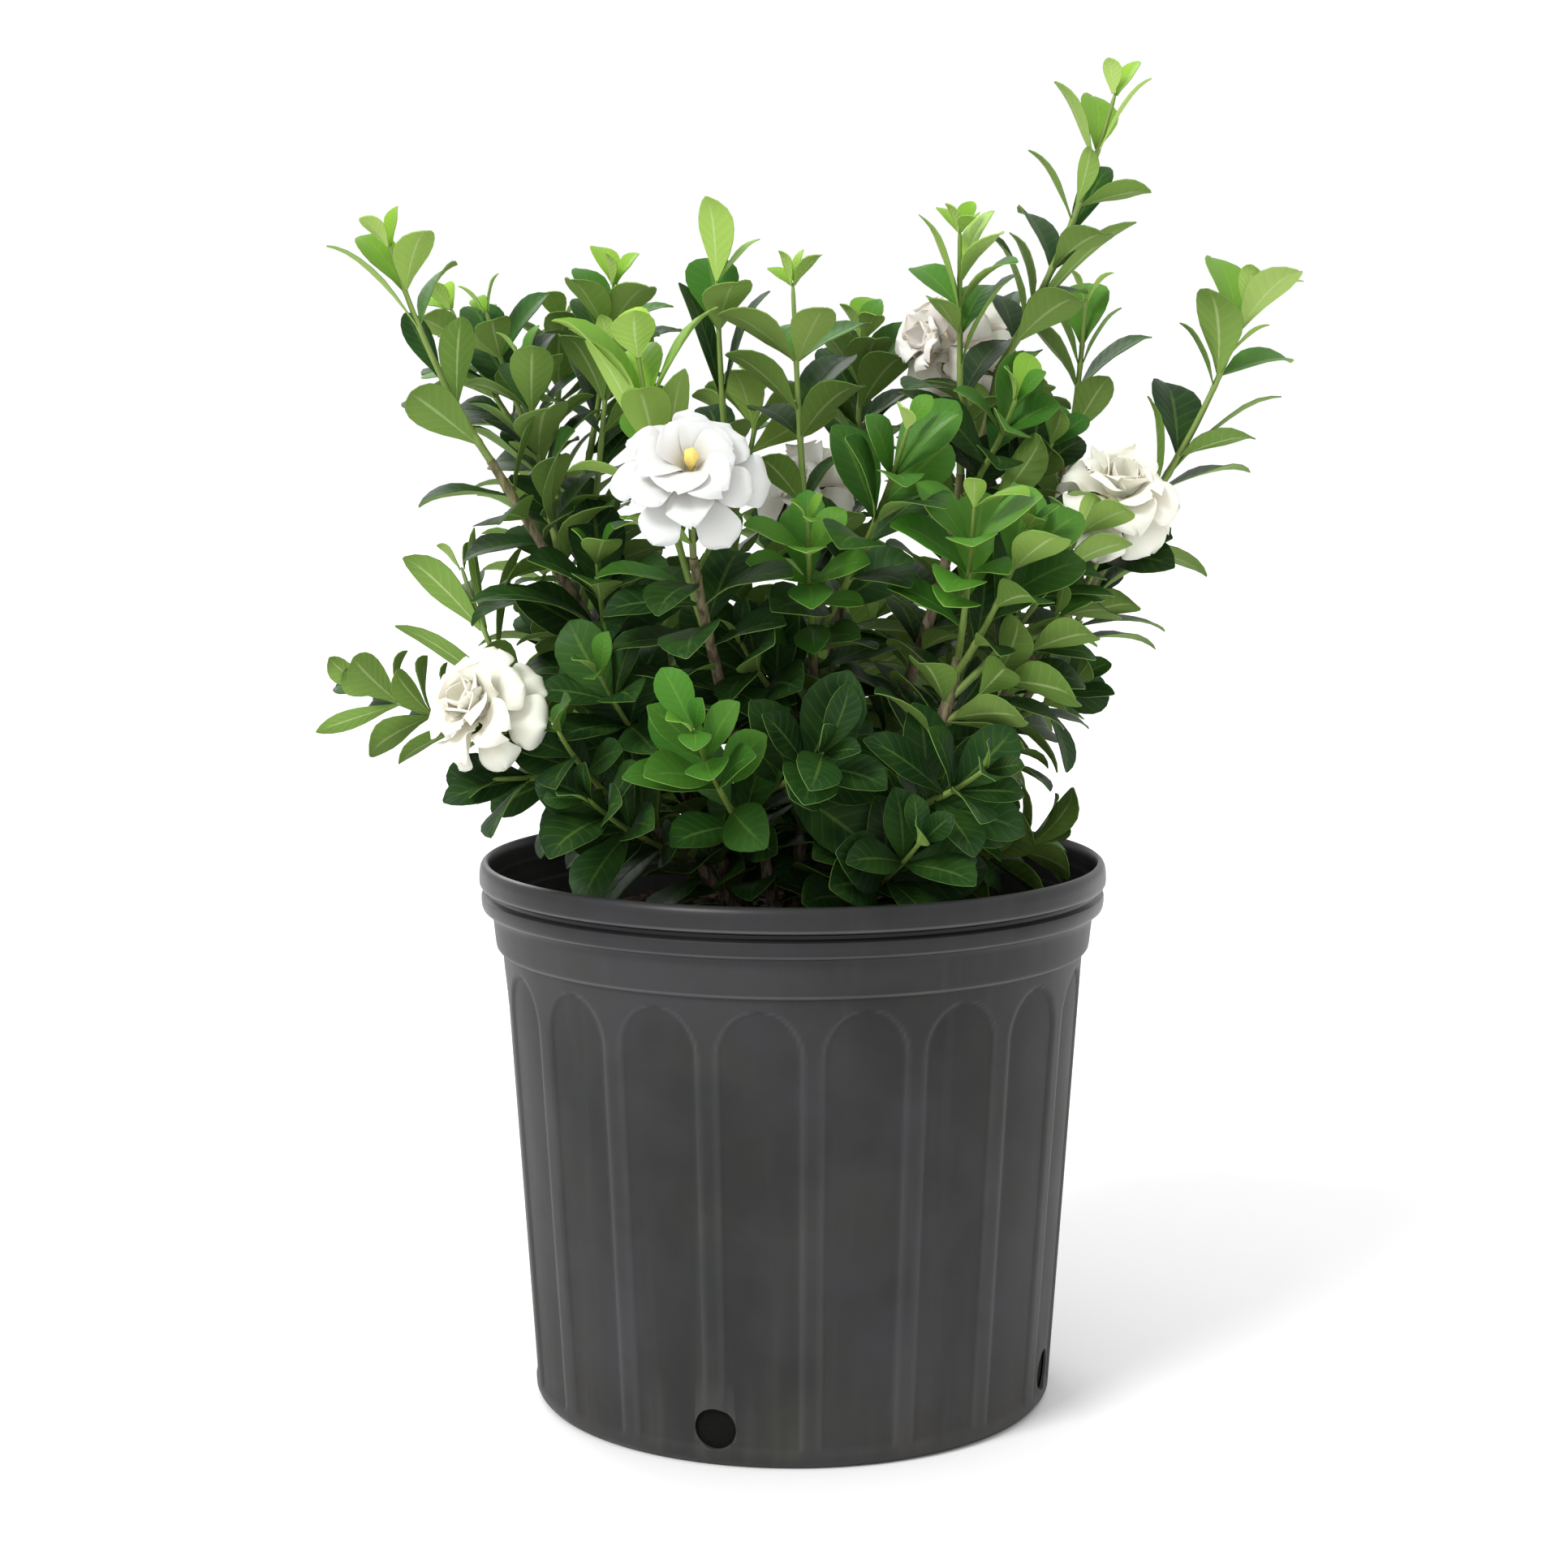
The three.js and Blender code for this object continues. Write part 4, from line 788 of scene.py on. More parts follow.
def blade_grid(strips, stations, thickness):
    """A flat blade that every leaf or petal is shaped from: side, share of length and offset."""
    bpy.ops.object.select_all(action="DESELECT")
    bpy.ops.mesh.primitive_grid_add(x_subdivisions=strips, y_subdivisions=stations, size=2)
    grid = bpy.context.object
    bpy.ops.object.mode_set(mode="EDIT")
    bpy.ops.mesh.select_all(action="SELECT")
    bpy.ops.mesh.solidify(thickness=thickness)
    bpy.ops.object.mode_set(mode="OBJECT")
    points = np.array([vertex.co[:] for vertex in grid.data.vertices])
    faces = [tuple(face.vertices) for face in grid.data.polygons]
    bpy.data.objects.remove(grid)
    middle = (points[:, 2].min() + points[:, 2].max()) / 2
    upper = points[:, 2] > middle
    sheet = faces[:strips * stations]
    outwards = 0
    for first, second, third, _ in sheet:
        turn = np.cross(points[second] - points[first], points[third] - points[second])[2]
        outwards += (turn > 0) == bool(upper[first])
    if outwards < len(sheet) / 2:
        faces = [face[::-1] for face in faces]
    return points[:, 0], (points[:, 1] + 1) / 2, np.where(upper, 1.0, -1.0), faces


PETAL_THICKNESS = 0.7
petal_side, petal_share, petal_face, petal_faces = blade_grid(10, 14, 0.1)


def add_petal(skins, blade, chance, ruffle, breadth=1.0, flare=0.0):
    """One petal: cupped across, with a blunt point and ruffled, slightly rolled edges."""
    s = 0.02 + 0.98 * petal_share ** 0.9
    side = petal_side
    point = 1 - (0.2 + 0.35 * chance) * np.clip((s - 0.72) / 0.28, 0, 1) ** 1.4
    round_tip = np.where(s > 0.97, 0.6, 1.0)
    half = breadth * blade.width / 2 * (
        np.maximum(blade.outline(np.minimum(s, 0.985)), 0.3 - 0.2 * s) * point * round_tip)
    cup = half * side ** 2 * math.sin(blade.fold) * 0.9
    waves = ruffle * (
        np.sin(7 * s + 3.1 * side + 6 * chance) * side ** 2
        + 0.5 * np.sin(15 * s + 11 * chance) * side ** 4
        + 0.6 * np.sin(5 * side + 9 * chance) * s ** 4)
    curl = -2.6 * ruffle * s ** 5 * (0.5 + chance) - 1.6 * ruffle * s ** 3 * side ** 4
    crease = -0.35 * np.exp(-(side / 0.12) ** 2) * np.sin(math.pi * np.minimum(1, s * 1.1))
    thick = PETAL_THICKNESS / 2 * petal_face * (1 - 0.5 * side ** 4) * (1 - 0.5 * s ** 6)
    lift = cup + waves + curl + crease + thick - flare * blade.length * s ** 3
    points = blade.surface(s, half * side, lift)
    places = np.stack([(side + 1) / 2, s], axis=1)
    tones = np.stack([(petal_face + 1) / 2, np.full(len(s), chance), s], axis=1)
    skins.add(points, petal_faces, places, tones)


def petal_finish(name, body, throat, edge, browning):
    """Matte petal skin: a soft body colour, a warmer throat, faint veins and edges that brown."""
    finish = Finish(name, roughness=0.55, specular_ior_level=0.3, subsurface_weight=0.12,
                    subsurface_scale=0.004, sheen_weight=0.15)
    place = finish.pattern()
    across, along, _ = finish.split("ShaderNodeSeparateXYZ", place)
    side = (2 * across - 1).size()
    blotch = finish.noise(130, 4)
    fine = finish.noise(520, 3)
    veins = finish.node(
        "ShaderNodeTexNoise", Scale=6.0, Detail=2.0,
        Vector=finish.node("ShaderNodeMapping", Vector=place, Scale=(9, 0.8, 1)))
    tinted = finish.blend(finish.steps(along, 0.35, 0.02, 0, 0.8), body, throat)
    veined = finish.blend(finish.steps(veins, 0.5, 0.75, 0, 0.12), tinted, throat)
    rim = finish.node("ShaderNodeMath", {"operation": "MAXIMUM"}, s0=side ** 6, s1=along ** 9)
    worn = finish.steps(rim + 0.9 * (blotch - 0.5), 1.02 - browning, 1.3 - browning)
    finish.feed(Base_Color=finish.blend(worn * min(1, 0.35 + browning), veined, edge))
    finish.bump(veins + 0.5 * fine, 0.2, 0.0006)
    return finish.material


petal_finishes = {
    look: petal_finish("petal_" + look, *colours, browning)
    for look, *colours, browning in [
        ("white", (214, 214, 212), (212, 213, 186), (200, 188, 154), 0.05),
        ("cream", (234, 231, 217), (226, 219, 190), (200, 180, 136), 0.12),
        ("faded", (238, 231, 225), (224, 214, 194), (184, 160, 126), 0.22),
    ]
}
RUFFLES = {"white": 1.1, "cream": 1.8, "faded": 2.6}
FIRST_BLOOM_OWNER = 100
HEART_PETALS = 4
HEART_TURN = 137.5
PETAL_SEED = 900
TUBE_SIDES = 16


def tube_radius(share):
    """The green tube widens into the core that the petals stand on."""
    widened = (CORE_RADIUS - TUBE_RADIUS) * math.sin(min(1, 1.35 * share) * 1.57) * (1 - 0.4 * share)
    return TUBE_RADIUS + widened


for index, (name, centre, facing, size, whorls, seed, look) in enumerate(BLOOMS):
    owner = FIRST_BLOOM_OWNER + index
    axis, right, upward = bloom_axes(facing)
    middle = as_array(centre)
    petals = bloom_petals(centre, facing, size, whorls, seed)
    for added, blade in petals:
        if not added:
            take(*blade_balls(blade, owner))
    foot = middle - axis * BLOOM_TUBE
    take(*curve_balls(Curve(foot, middle), owner, TUBE_RADIUS, CORE_RADIUS))
    bloom = Skins()
    draw = random_source(PETAL_SEED + index)
    for added, blade in petals:
        near_axis = unit(blade.tip - middle) @ axis
        chance = draw()
        if look == "white":
            breadth, flare = 0.85 + 0.3 * chance + 0.6 * near_axis ** 2, 0.3 * max(0, near_axis)
        else:
            breadth, flare = 1.15 + 0.3 * max(0, near_axis), 0
        add_petal(bloom, blade, chance, RUFFLES[look] * (0.5 if added else 1), breadth, flare)
    for place in range(0 if look == "white" else HEART_PETALS):
        turn = place * HEART_TURN
        outward = outward_at(right, upward, turn)
        base = middle + outward * 1.6 + axis * 3
        tip = middle + axis * (17 + 3 * draw()) * size + outward_at(right, upward, turn + 40) * 5.5
        heart = Blade(base, tip, -outward + 0.3 * axis, 20, -30, 55, 19 * size, 0.5, petal_outline)
        add_petal(bloom, heart, draw(), 0.4)
    tube = Curve(foot + axis * 0.3, middle + axis * (WHORL_STEP + WHORL_HEIGHT / 2))
    add_stem(bloom, tube, tube_radius, np.linspace(0, 1, 14), lambda share: (1, 0.5, 0), 0, TUBE_SIDES)
    bloom_piece = bloom.piece(name + "_petals", [petal_finishes[look]], 70)
    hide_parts(name)

# The stigma of the open bloom: a soft yellow club with ribs that stands in the throat, where the last
# petals part. Pollen makes its skin matte and a little grainy.
STIGMA_TOP = 20
STIGMA_RIBS = 5

bpy.ops.mesh.primitive_uv_sphere_add(segments=24, ring_count=20, radius=1)
stigma = bpy.context.object
stigma.name = "stigma_club"
_, open_centre, open_facing, *_ = BLOOMS[0]
axis, right, upward = bloom_axes(open_facing)
throat = WHORL_STEP + WHORL_HEIGHT / 2 + 0.3
for vertex in stigma.data.vertices:
    rise = (vertex.co.z + 1) / 2
    turn = math.atan2(vertex.co.y, vertex.co.x)
    club = 1.3 + 1.9 * math.sin(min(1, max(0, (rise - 0.25) / 0.6)) * 1.4)
    ribbed = club * (1 + 0.1 * math.cos(STIGMA_RIBS * turn))
    ends = math.sqrt(max(0, 1 - (2 * rise - 1) ** 4))
    place = (
        np.array(open_centre) + axis * (throat + (STIGMA_TOP - throat) * rise)
        + (right * math.cos(turn) + upward * math.sin(turn)) * ribbed * ends)
    vertex.co = Vector(place / 1000)
smooth(stigma, 60)
pollen = Finish("stigma_yellow", roughness=0.65)
pollen_grain = pollen.noise(1500, 3)
pollen.feed(Base_Color=pollen.blend(pollen_grain, (226, 192, 84), (244, 222, 130)))
pollen.bump(pollen_grain, 0.4, 0.0003)
stigma.data.materials.append(pollen.material)
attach(stigma, "root")
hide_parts("bloom_front_stigma")

# The leafy shoots: green stems that carry leaves in crossed pairs, glossy above and pale below. The
# youngest leaves at the tips are yellow-green and upright, the oldest dark and spreading.
LEAF_FOLD = 14
LEAF_WAVE = 0.4
LEAF_ROOT = 0.6
LEAF_THICKNESS = 0.45
NODE_HALF = 0.9
NODE_SPACING = 5
SHOOT_STEERING = (0.62, 0.62, 0.42)
TWIG_RADIUS = 0.9
FLOWERING_RADIUS = 1.5
SHOOT_SEED, FLOWERING_SEED, BRANCH_SEED = 100, 200, 300
FIRST_SHOOT_OWNER = 1000
CALYX_LENGTH = 8
CALYX_RADIUS = 3.2
# A shoot with more marked leaves than this has no small ones near its tip.
WELL_KNOWN = 3
KNOWN_TIP = 78
# A marked leaf that has no room moves along the stem by a few steps and may get narrower. Any other leaf
# tries these turns, droops and sizes.
MARKED_TRIES = [
    (0, 1), (-1, 1), (1, 1), (-2, 1), (0, 0.8), (2, 0.8), (-1, 0.7), (-3, 0.7), (3, 0.7)]
SWAYS = [
    (0, 0, 1), (14, 0, 1), (-14, 0, 1), (0, 14, 1), (0, -12, 1), (28, 8, 0.95), (-28, 8, 0.95),
    (16, -14, 0.85), (-16, 20, 0.85), (42, 0, 0.8), (-42, 0, 0.8), (0, 24, 0.72),
]
# The main pairs: distance below the tip, share of the leaf length, lean and quarter turn. Long shoots
# carry their pairs further apart, by up to the stretch given here.
LEAF_PAIRS = [(0, 0.5, 24, 0), (18, 1.05, 44, 1), (36, 1.14, 54, 0)]
LONG_SHOOT = 110
MOST_STRETCH = 1.5
# Each shoot: name, woody stem and the share of it where the shoot grows, tip, leaf length, turn of its
# pairs, age, and the leaves that are marked on the photograph: share of the shoot, tip, width, arc, roll.
SHOOTS = [
    ("left_high", "left_main", 1, (-172, -20, 508), 34, 40, 0.35, [
        (0.66, (-197, -22, 509), 15, 24, 10), (0.3, (-141, -30, 478), 17, 16, -40),
        (0.1, (-163, -36, 446), 21, 26, 30), (0.1, (-112, 6, 448), 17, 20, -30),
        (0.42, (-168, -4, 480), 12, 20, 0)]),
    ("left_inner", "left_main", 0.8, (-117, 5, 458), 34, 20, 0.5, [(0.3, (-95, -40, 430), 27, 26, 60)]),
    ("left_inner_back", "left_main", 0.76, (-82, 34, 464), 36, 60, 0.5, []),
    ("left_back_low", "back_left", 0.82, (-138, 50, 482), 32, 10, 0.5, []),
    ("left_back_high", "back_left", 0.92, (-157, 78, 484), 30, 50, 0.4, []),
    ("left_rear", "back_left", 1, (-107, 96, 478), 32, 0, 0.5, []),
    ("left_crown", "back_left", 0.88, (-80, 46, 494), 36, 35, 0.45, []),
    ("pale_left", "front", 0.78, (-65, -60, 464), 38, 0, 0.1, [
        (0.93, (-66, -64, 479), 21, 12, 0), (0.55, (-84, -70, 468), 18, 18, 20),
        (0.55, (-46, -74, 456), 16, 20, -20)]),
    ("centre_tall", "centre_left", 1, (-33, -3, 494), 38, 10, 0.4, [
        (1, (-36, -10, 529), 21, 14, 0), (1, (-15, 2, 512), 8, 18, 0),
        (0.44, (-48, 10, 494), 12, 24, 0), (0.44, (-12, 0, 490), 18, 20, 0)]),
    ("centre_front", "centre", 1, (0, -8, 492), 34, 40, 0.3, [(0.8, (-24, -10, 502), 10, 14, 20)]),
    ("centre_back", "back_mid", 1, (32, 60, 470), 36, 20, 0.6, []),
    ("centre_left_back", "centre_left", 0.9, (-14, 38, 447), 30, 70, 0.2, []),
    ("front_right", "centre", 0.96, (46, -108, 432), 34, 60, 0.2, [
        (0.62, (23, -120, 428), 20, 18, -20), (0.8, (64, -116, 438), 14, 20, 0),
        (0.8, (12, -108, 430), 13, 20, 0)]),
    ("front_small", "centre", 0.9, (6, -86, 394), 26, 0, 0.15, []),
    ("right_upright", "tall_right", 1, (71, -20, 514), 32, 45, 0.3, [
        (0.72, (55, -26, 521), 10, 16, 0), (0.5, (93, -32, 496), 19, 22, 20),
        (0.62, (58, -40, 486), 15, 16, -10)]),
    ("right_tallest", "tall_fork", 1, (141, 22, 575), 34, 30, 0.3, [
        (0.78, (115, 14, 580), 14, 18, 0), (0.78, (155, 20, 582), 9, 16, 0),
        (0.58, (104, 16, 551), 11, 20, 0), (0.52, (141, 42, 546), 13, 20, 0),
        (0.52, (129, 4, 551), 16, 18, -20), (0.2, (88, -6, 512), 23, 20, -30),
        (0.2, (148, 10, 521), 15, 24, 0)]),
    ("right_back_high", "back_right", 1, (133, 60, 487), 32, 0, 0.35, [
        (0.6, (112, 55, 492), 20, 18, -10), (0.6, (148, 60, 484), 13, 20, 0),
        (0.1, (142, 45, 453), 17, 18, -30), (0.1, (104, 62, 461), 11, 20, 0)]),
    ("right_inner", "tall_right", 0.93, (94, -44, 443), 32, 10, 0.4, []),
    ("right_reach", "tall_right", 0.85, (112, -18, 424), 36, 40, 0.6, [
        (0.55, (133, -32, 454), 17, 20, 20), (0.3, (106, -50, 428), 18, 20, 0)]),
    ("far_right_high", "far_right", 1, (200, 0, 492), 36, 30, 0.3, [
        (0.12, (211, -2, 446), 18, 26, 0), (0.12, (155, -12, 444), 17, 18, -15),
        (0.6, (169, 0, 476), 14, 22, 0), (0.6, (206, -2, 475), 13, 20, 0),
        (0.95, (221, 0, 494), 10, 14, 0), (0.95, (198, -8, 500), 14, 10, -10)]),
    ("right_pale_a", "right_low", 1, (73, -106, 401), 34, 80, 0.1, []),
    ("right_pale_b", "right_low", 0.95, (95, -98, 392), 32, 20, 0.2, []),
    ("right_pale_c", "right_low", 0.88, (120, -62, 388), 34, 50, 0.25, []),
    ("right_dark", "right_side", 1, (142, 12, 376), 36, 0, 0.85, [(0.6, (161, 10, 371), 15, 30, 0)]),
    ("right_mid", "right_low", 0.8, (110, -74, 354), 34, 30, 0.5, []),
    ("right_low_outer", "right_side", 0.8, (124, -8, 320), 34, 60, 0.6, [
        (0.6, (140, -16, 316), 11, 14, 30), (0.4, (121, -16, 281), 15, 24, 0)]),
    ("right_low_front", "right_low", 0.55, (78, -98, 292), 36, 20, 0.7, [
        (0.3, (89, -96, 292), 26, 24, 0), (0.5, (30, -104, 306), 19, 20, 0)]),
    ("pot_right", "right_side", 0.12, (118, 16, 246), 30, 40, 0.3, [
        (0.75, (101, -8, 277), 14, 20, 0), (0.95, (139, 24, 262), 20, 20, -30)]),
    ("left_up", "low_left", 0.92, (-147, 18, 368), 30, 10, 0.3, [
        (0.7, (-171, 10, 374), 18, 24, 10), (0.7, (-143, 20, 385), 8, 10, 0),
        (0.55, (-122, 16, 378), 9, 20, 0), (0.3, (-173, 0, 345), 10, 18, 10)]),
    ("left_out", "low_left", 1, (-184, -24, 318), 26, 30, 0.25, [
        (0.75, (-206, -28, 300), 9, 14, 60), (0.9, (-194, -28, 326), 15, 16, 0)]),
    ("left_spur", "left_main", 0.68, (-84, -30, 374), 38, 0, 0.4, [(0.25, (-136, -46, 360), 20, 44, 20)]),
    ("left_under", "low_left", 0.85, (-126, -66, 284), 34, 45, 0.7, [(0.4, (-147, -70, 276), 20, 24, 0)]),
    ("left_bright", "left_main", 0.42, (-81, -67, 329), 34, 20, 0.25, []),
    ("left_low_front", "low_left", 0.72, (-98, -76, 306), 28, 60, 0.3, []),
    ("left_low_rim", "low_left", 0.48, (-85, -84, 278), 34, 30, 0.5, []),
    ("front_low", "front", 0.3, (-40, -126, 312), 34, 15, 0.15, [
        (0.6, (-68, -120, 293), 17, 22, 0), (0.6, (-17, -130, 302), 18, 20, 0),
        (0.8, (-58, -120, 321), 14, 16, 0)]),
    ("centre_dark", "centre", 0.68, (-22, -62, 342), 38, 30, 0.9, []),
    ("front_dark", "right_low", 0.28, (52, -98, 262), 36, 50, 0.9, []),
    ("front_centre_dark", "front", 0.42, (12, -106, 300), 38, 10, 0.9, [
        (0.62, (0, -104, 281), 26, 20, -20)]),
    ("back_low_left", "back_left", 0.42, (-112, 40, 346), 38, 0, 0.8, []),
    ("back_top", "back_far", 1, (6, 165, 404), 36, 20, 0.3, []),
    ("back_side", "back_far", 0.6, (48, 158, 352), 38, 50, 0.5, []),
    ("back_left_top", "back_far_left", 1, (-122, 142, 398), 36, 0, 0.3, []),
    ("back_left_low", "back_far_left", 0.6, (-72, 152, 332), 38, 40, 0.6, []),
    ("back_right_top", "back_far_right", 1, (118, 142, 402), 36, 30, 0.3, []),
    ("back_right_low", "back_far_right", 0.6, (76, 142, 322), 38, 10, 0.6, []),
]
# The shoots below the blooms, in their order: woody stem and the share of it, leaf length and turn.
FLOWERING_SHOOTS = [
    ("front", 1, 36, 40), ("low_left", 0.97, 34, 20), ("far_right", 0.84, 34, 60),
    ("tall_right", 0.9, 34, 30), ("back_mid", 0.85, 34, 70),
]


class Shoot:
    """A leafy shoot that grows from a woody stem to its tip, or to the calyx of a bloom."""

    def __init__(self, name, curve, leaf_length, turn, age, marked, seed, tip_radius, calyx=None):
        self.name, self.curve, self.leaf_length, self.turn = name, curve, leaf_length, turn
        self.age, self.marked, self.seed, self.tip_radius, self.calyx = age, marked, seed, tip_radius, calyx
        self.length = curve.length()
        self.base_radius = 1.15 + 0.005 * self.length + 0.3 * age
        self.nodes, self.blades = [], []
        self.owner = FIRST_SHOOT_OWNER + seed

    def node_at(self, place):
        """The node at a share of the stem, or the one that is there already, with its four sides."""
        def apart(node):
            return abs(node[0] - place) * self.length
        near = [node for node in self.nodes if apart(node) < NODE_SPACING]
        if near:
            return min(near, key=apart)
        self.nodes.append((place, [None] * 4))
        return self.nodes[-1]

    def try_leaf(self, node, side, blade, ease=1.0):
        """Keeps a leaf if it has room."""
        points, facts = blade_balls(blade, self.owner)
        if not is_clear(points, facts, ease) or not clear_of_pot(points):
            return False
        take(points, facts)
        node[1][side] = blade
        self.blades.append((blade, node[0]))
        return True

    def grow_marked_leaves(self):
        """The leaves that are seen one by one, each from the side of the stem that points to its tip."""
        for share, tip, width, arc, roll in self.marked:
            for steps, slim in MARKED_TRIES:
                shifted = min(share + steps * NODE_SPACING / self.length, 1 - NODE_HALF / self.length)
                node = self.node_at(shifted)
                stem, right, upward = stem_axes(self.curve, node[0])
                centre = self.curve.point(node[0])
                reach = as_array(tip) - centre
                turns = [outward_at(right, upward, self.turn + side * 90) for side in range(4)]
                side = max(range(4), key=lambda each: turns[each] @ reach)
                base = centre + turns[side] * LEAF_ROOT * self.base_radius
                blade = Blade(base, as_array(tip), stem, roll, arc, LEAF_FOLD, width * slim, LEAF_WAVE,
                              leaf_outline)
                if not node[1][side] and self.try_leaf(node, side, blade):
                    break

    def grow_pair(self, below, share, lean, quarter, draw, ease=1.0, young=False):
        """Two leaves across from each other, some way below the tip."""
        def jitter(amount):
            return (draw() - 0.5) * 2 * amount

        place = 1 - (NODE_HALF + below) / self.length
        if place < 0.1:
            return
        node = self.node_at(place)
        stem, right, upward = stem_axes(self.curve, node[0])
        for side in (quarter, quarter + 2):
            turn = self.turn + side * 90 + jitter(12)
            angle = lean + jitter(8)
            length = self.leaf_length * share * (1 + jitter(0.12))
            slim = (0.64 if young else 0.6) + jitter(0.05)
            roll = jitter(16)
            arc = 26 + jitter(14)
            fold = LEAF_FOLD + jitter(6)
            outward = outward_at(right, upward, self.turn + side * 90)
            base = self.curve.point(node[0]) + outward * LEAF_ROOT * self.base_radius
            if node[1][side]:
                continue
            for sway, droop, size in SWAYS:
                incline = math.radians(angle + droop)
                reach = length * size
                tip = base + stem * reach * math.cos(incline) + (
                    outward_at(right, upward, turn + sway) * reach * math.sin(incline))
                blade = Blade(base, tip, stem, roll, arc, fold, reach * slim, LEAF_WAVE, leaf_outline)
                if self.try_leaf(node, side, blade, ease):
                    break

    def stretch(self):
        return min(MOST_STRETCH, max(1, self.length / LONG_SHOOT))

    def grow_paired_leaves(self):
        """The main pairs, as in the solids."""
        for pair, (below, share, lean, quarter) in enumerate(LEAF_PAIRS):
            if self.calyx is None or pair > 0:
                stretched = below * self.stretch() * (0.8 + self.leaf_length / 170)
                draw = random_source(self.seed * 8 + pair)
                self.grow_pair(stretched, share, lean, quarter, draw, young=pair == 0)

    def grow_small_leaves(self):
        """The smaller pairs between the main ones, down to the foot of the shoot."""
        draw = random_source(self.seed * 8 + 7)
        below = 3 if self.calyx is None else CALYX_LENGTH + 4
        if len(self.marked) > WELL_KNOWN:
            below = KNOWN_TIP
        quarter = 1
        while below < self.length - 4:
            young = max(0, 1 - below / 22)
            share = 0.95 + 0.35 * draw() - 0.45 * young
            self.grow_pair(below, share, 24 + 24 * (1 - young) + 12 * draw(), quarter, draw, 0.5)
            below += (12 + 4 * draw()) * self.stretch() ** 2
            quarter = 1 - quarter


shoots = []
for index, (name, stem, share, tip, leaf_length, turn, age, marked) in enumerate(SHOOTS):
    start = wood_curves[stem].point(share)
    curve = Curve(start, start + np.array(SHOOT_STEERING) * (np.array(tip) - start), tip)
    shoots.append(Shoot(
        "shoot_" + name, curve, leaf_length, turn, age, marked, SHOOT_SEED + index, TWIG_RADIUS))
for index, (stem, share, leaf_length, turn) in enumerate(FLOWERING_SHOOTS):
    name, centre, facing, *_ = BLOOMS[index]
    axis, _, _ = bloom_axes(facing)
    start = wood_curves[stem].point(share)
    calyx = np.array(centre) - axis * BLOOM_TUBE
    curve = Curve(start, calyx - axis * 0.5 * math.dist(start, calyx), calyx)
    shoots.append(Shoot(
        "shoot_below_" + name, curve, leaf_length, turn, 0.6, [], FLOWERING_SEED + index,
        FLOWERING_RADIUS, axis))

for shoot in shoots:
    take(*curve_balls(shoot.curve, shoot.owner, shoot.base_radius, shoot.tip_radius))
for shoot in shoots:
    shoot.grow_marked_leaves()
for shoot in shoots:
    shoot.grow_paired_leaves()

# No small leaf stands in front of the open side of a bloom that faces the front, or before the upper one.
OPEN_RADIUS = 26
UPPER_WINDOW = (55, 34, 466)
ahead = []
for name, centre, facing, *_ in BLOOMS[:3]:
    front = unit(bloom_axes(facing)[0] + np.array((0.0, -0.8, 0.2)))
    ahead += [as_array(centre) + front * reach for reach in (26, 40, 54)]
ahead += [as_array(UPPER_WINDOW) - (0, reach, 0) for reach in (24, 40, 56, 72, 88)]
take(np.array(ahead), np.array([(OPEN_RADIUS, -1.0, 0.0)] * len(ahead)))
for shoot in shoots:
    shoot.grow_small_leaves()

# Old leaves that still hang on the branches themselves, deep in the plant, are a piece of their own. Like
# those of the shoots they are glossy above, with a pale midrib and veins, and paler below.
OLD_LEAF = 40
LOWEST_LEAF = 12
branch_shoots = []
for index, (name, *_, start_radius, end_radius) in enumerate(WOOD):
    curve = wood_curves[name]
    branch = Shoot(
        "branch_" + name, curve, OLD_LEAF, 35 * index, 1, [], BRANCH_SEED + index, end_radius)
    branch.base_radius = start_radius
    branch_shoots.append(branch)
    draw = random_source(branch.seed)
    below, quarter = 12, 0
    while below < branch.length * 0.86:
        if curve.point(1 - below / branch.length)[2] > SOIL_TOP + LOWEST_LEAF:
            branch.grow_pair(below, 0.85 + 0.25 * draw(), 62 + 20 * draw(), quarter, draw, 0.42)
        below += 9 + 3 * draw()
        quarter = 1 - quarter

leaf_side, leaf_share, leaf_face, leaf_faces = blade_grid(4, 8, 0.1)


def add_leaf(skins, blade, age, chance):
    """One leaf: a short stalk, a blade cupped between its veins, and a pointed tip that droops."""
    s = 1 - (1 - leaf_share) ** 1.3
    stalk = 0.55 + 0.2 * blade.length / 40
    outline = blade.width / 2 * blade.outline(np.minimum(s, 0.996))
    half = np.maximum(outline, np.where(s < 0.5, stalk, 0.12))
    side = leaf_side
    lift = half * (1.25 * np.abs(side) - 0.45 * side ** 2) * math.sin(blade.fold)
    ripple = (0.014 * blade.width) * np.sin(11 * s + 2.5 * side + 7 * chance) * side ** 2
    droop = -0.05 * blade.length * np.clip((s - 0.72) / 0.28, 0, 1) ** 2
    thick = LEAF_THICKNESS / 2 * leaf_face
    points = blade.surface(s, half * side * math.cos(blade.fold), lift + ripple + droop + thick)
    places = np.stack([(side + 1) / 2, s], axis=1)
    tones = np.stack([(leaf_face + 1) / 2, np.full(len(s), age), np.full(len(s), chance)], axis=1)
    skins.add(points, leaf_faces, places, tones)


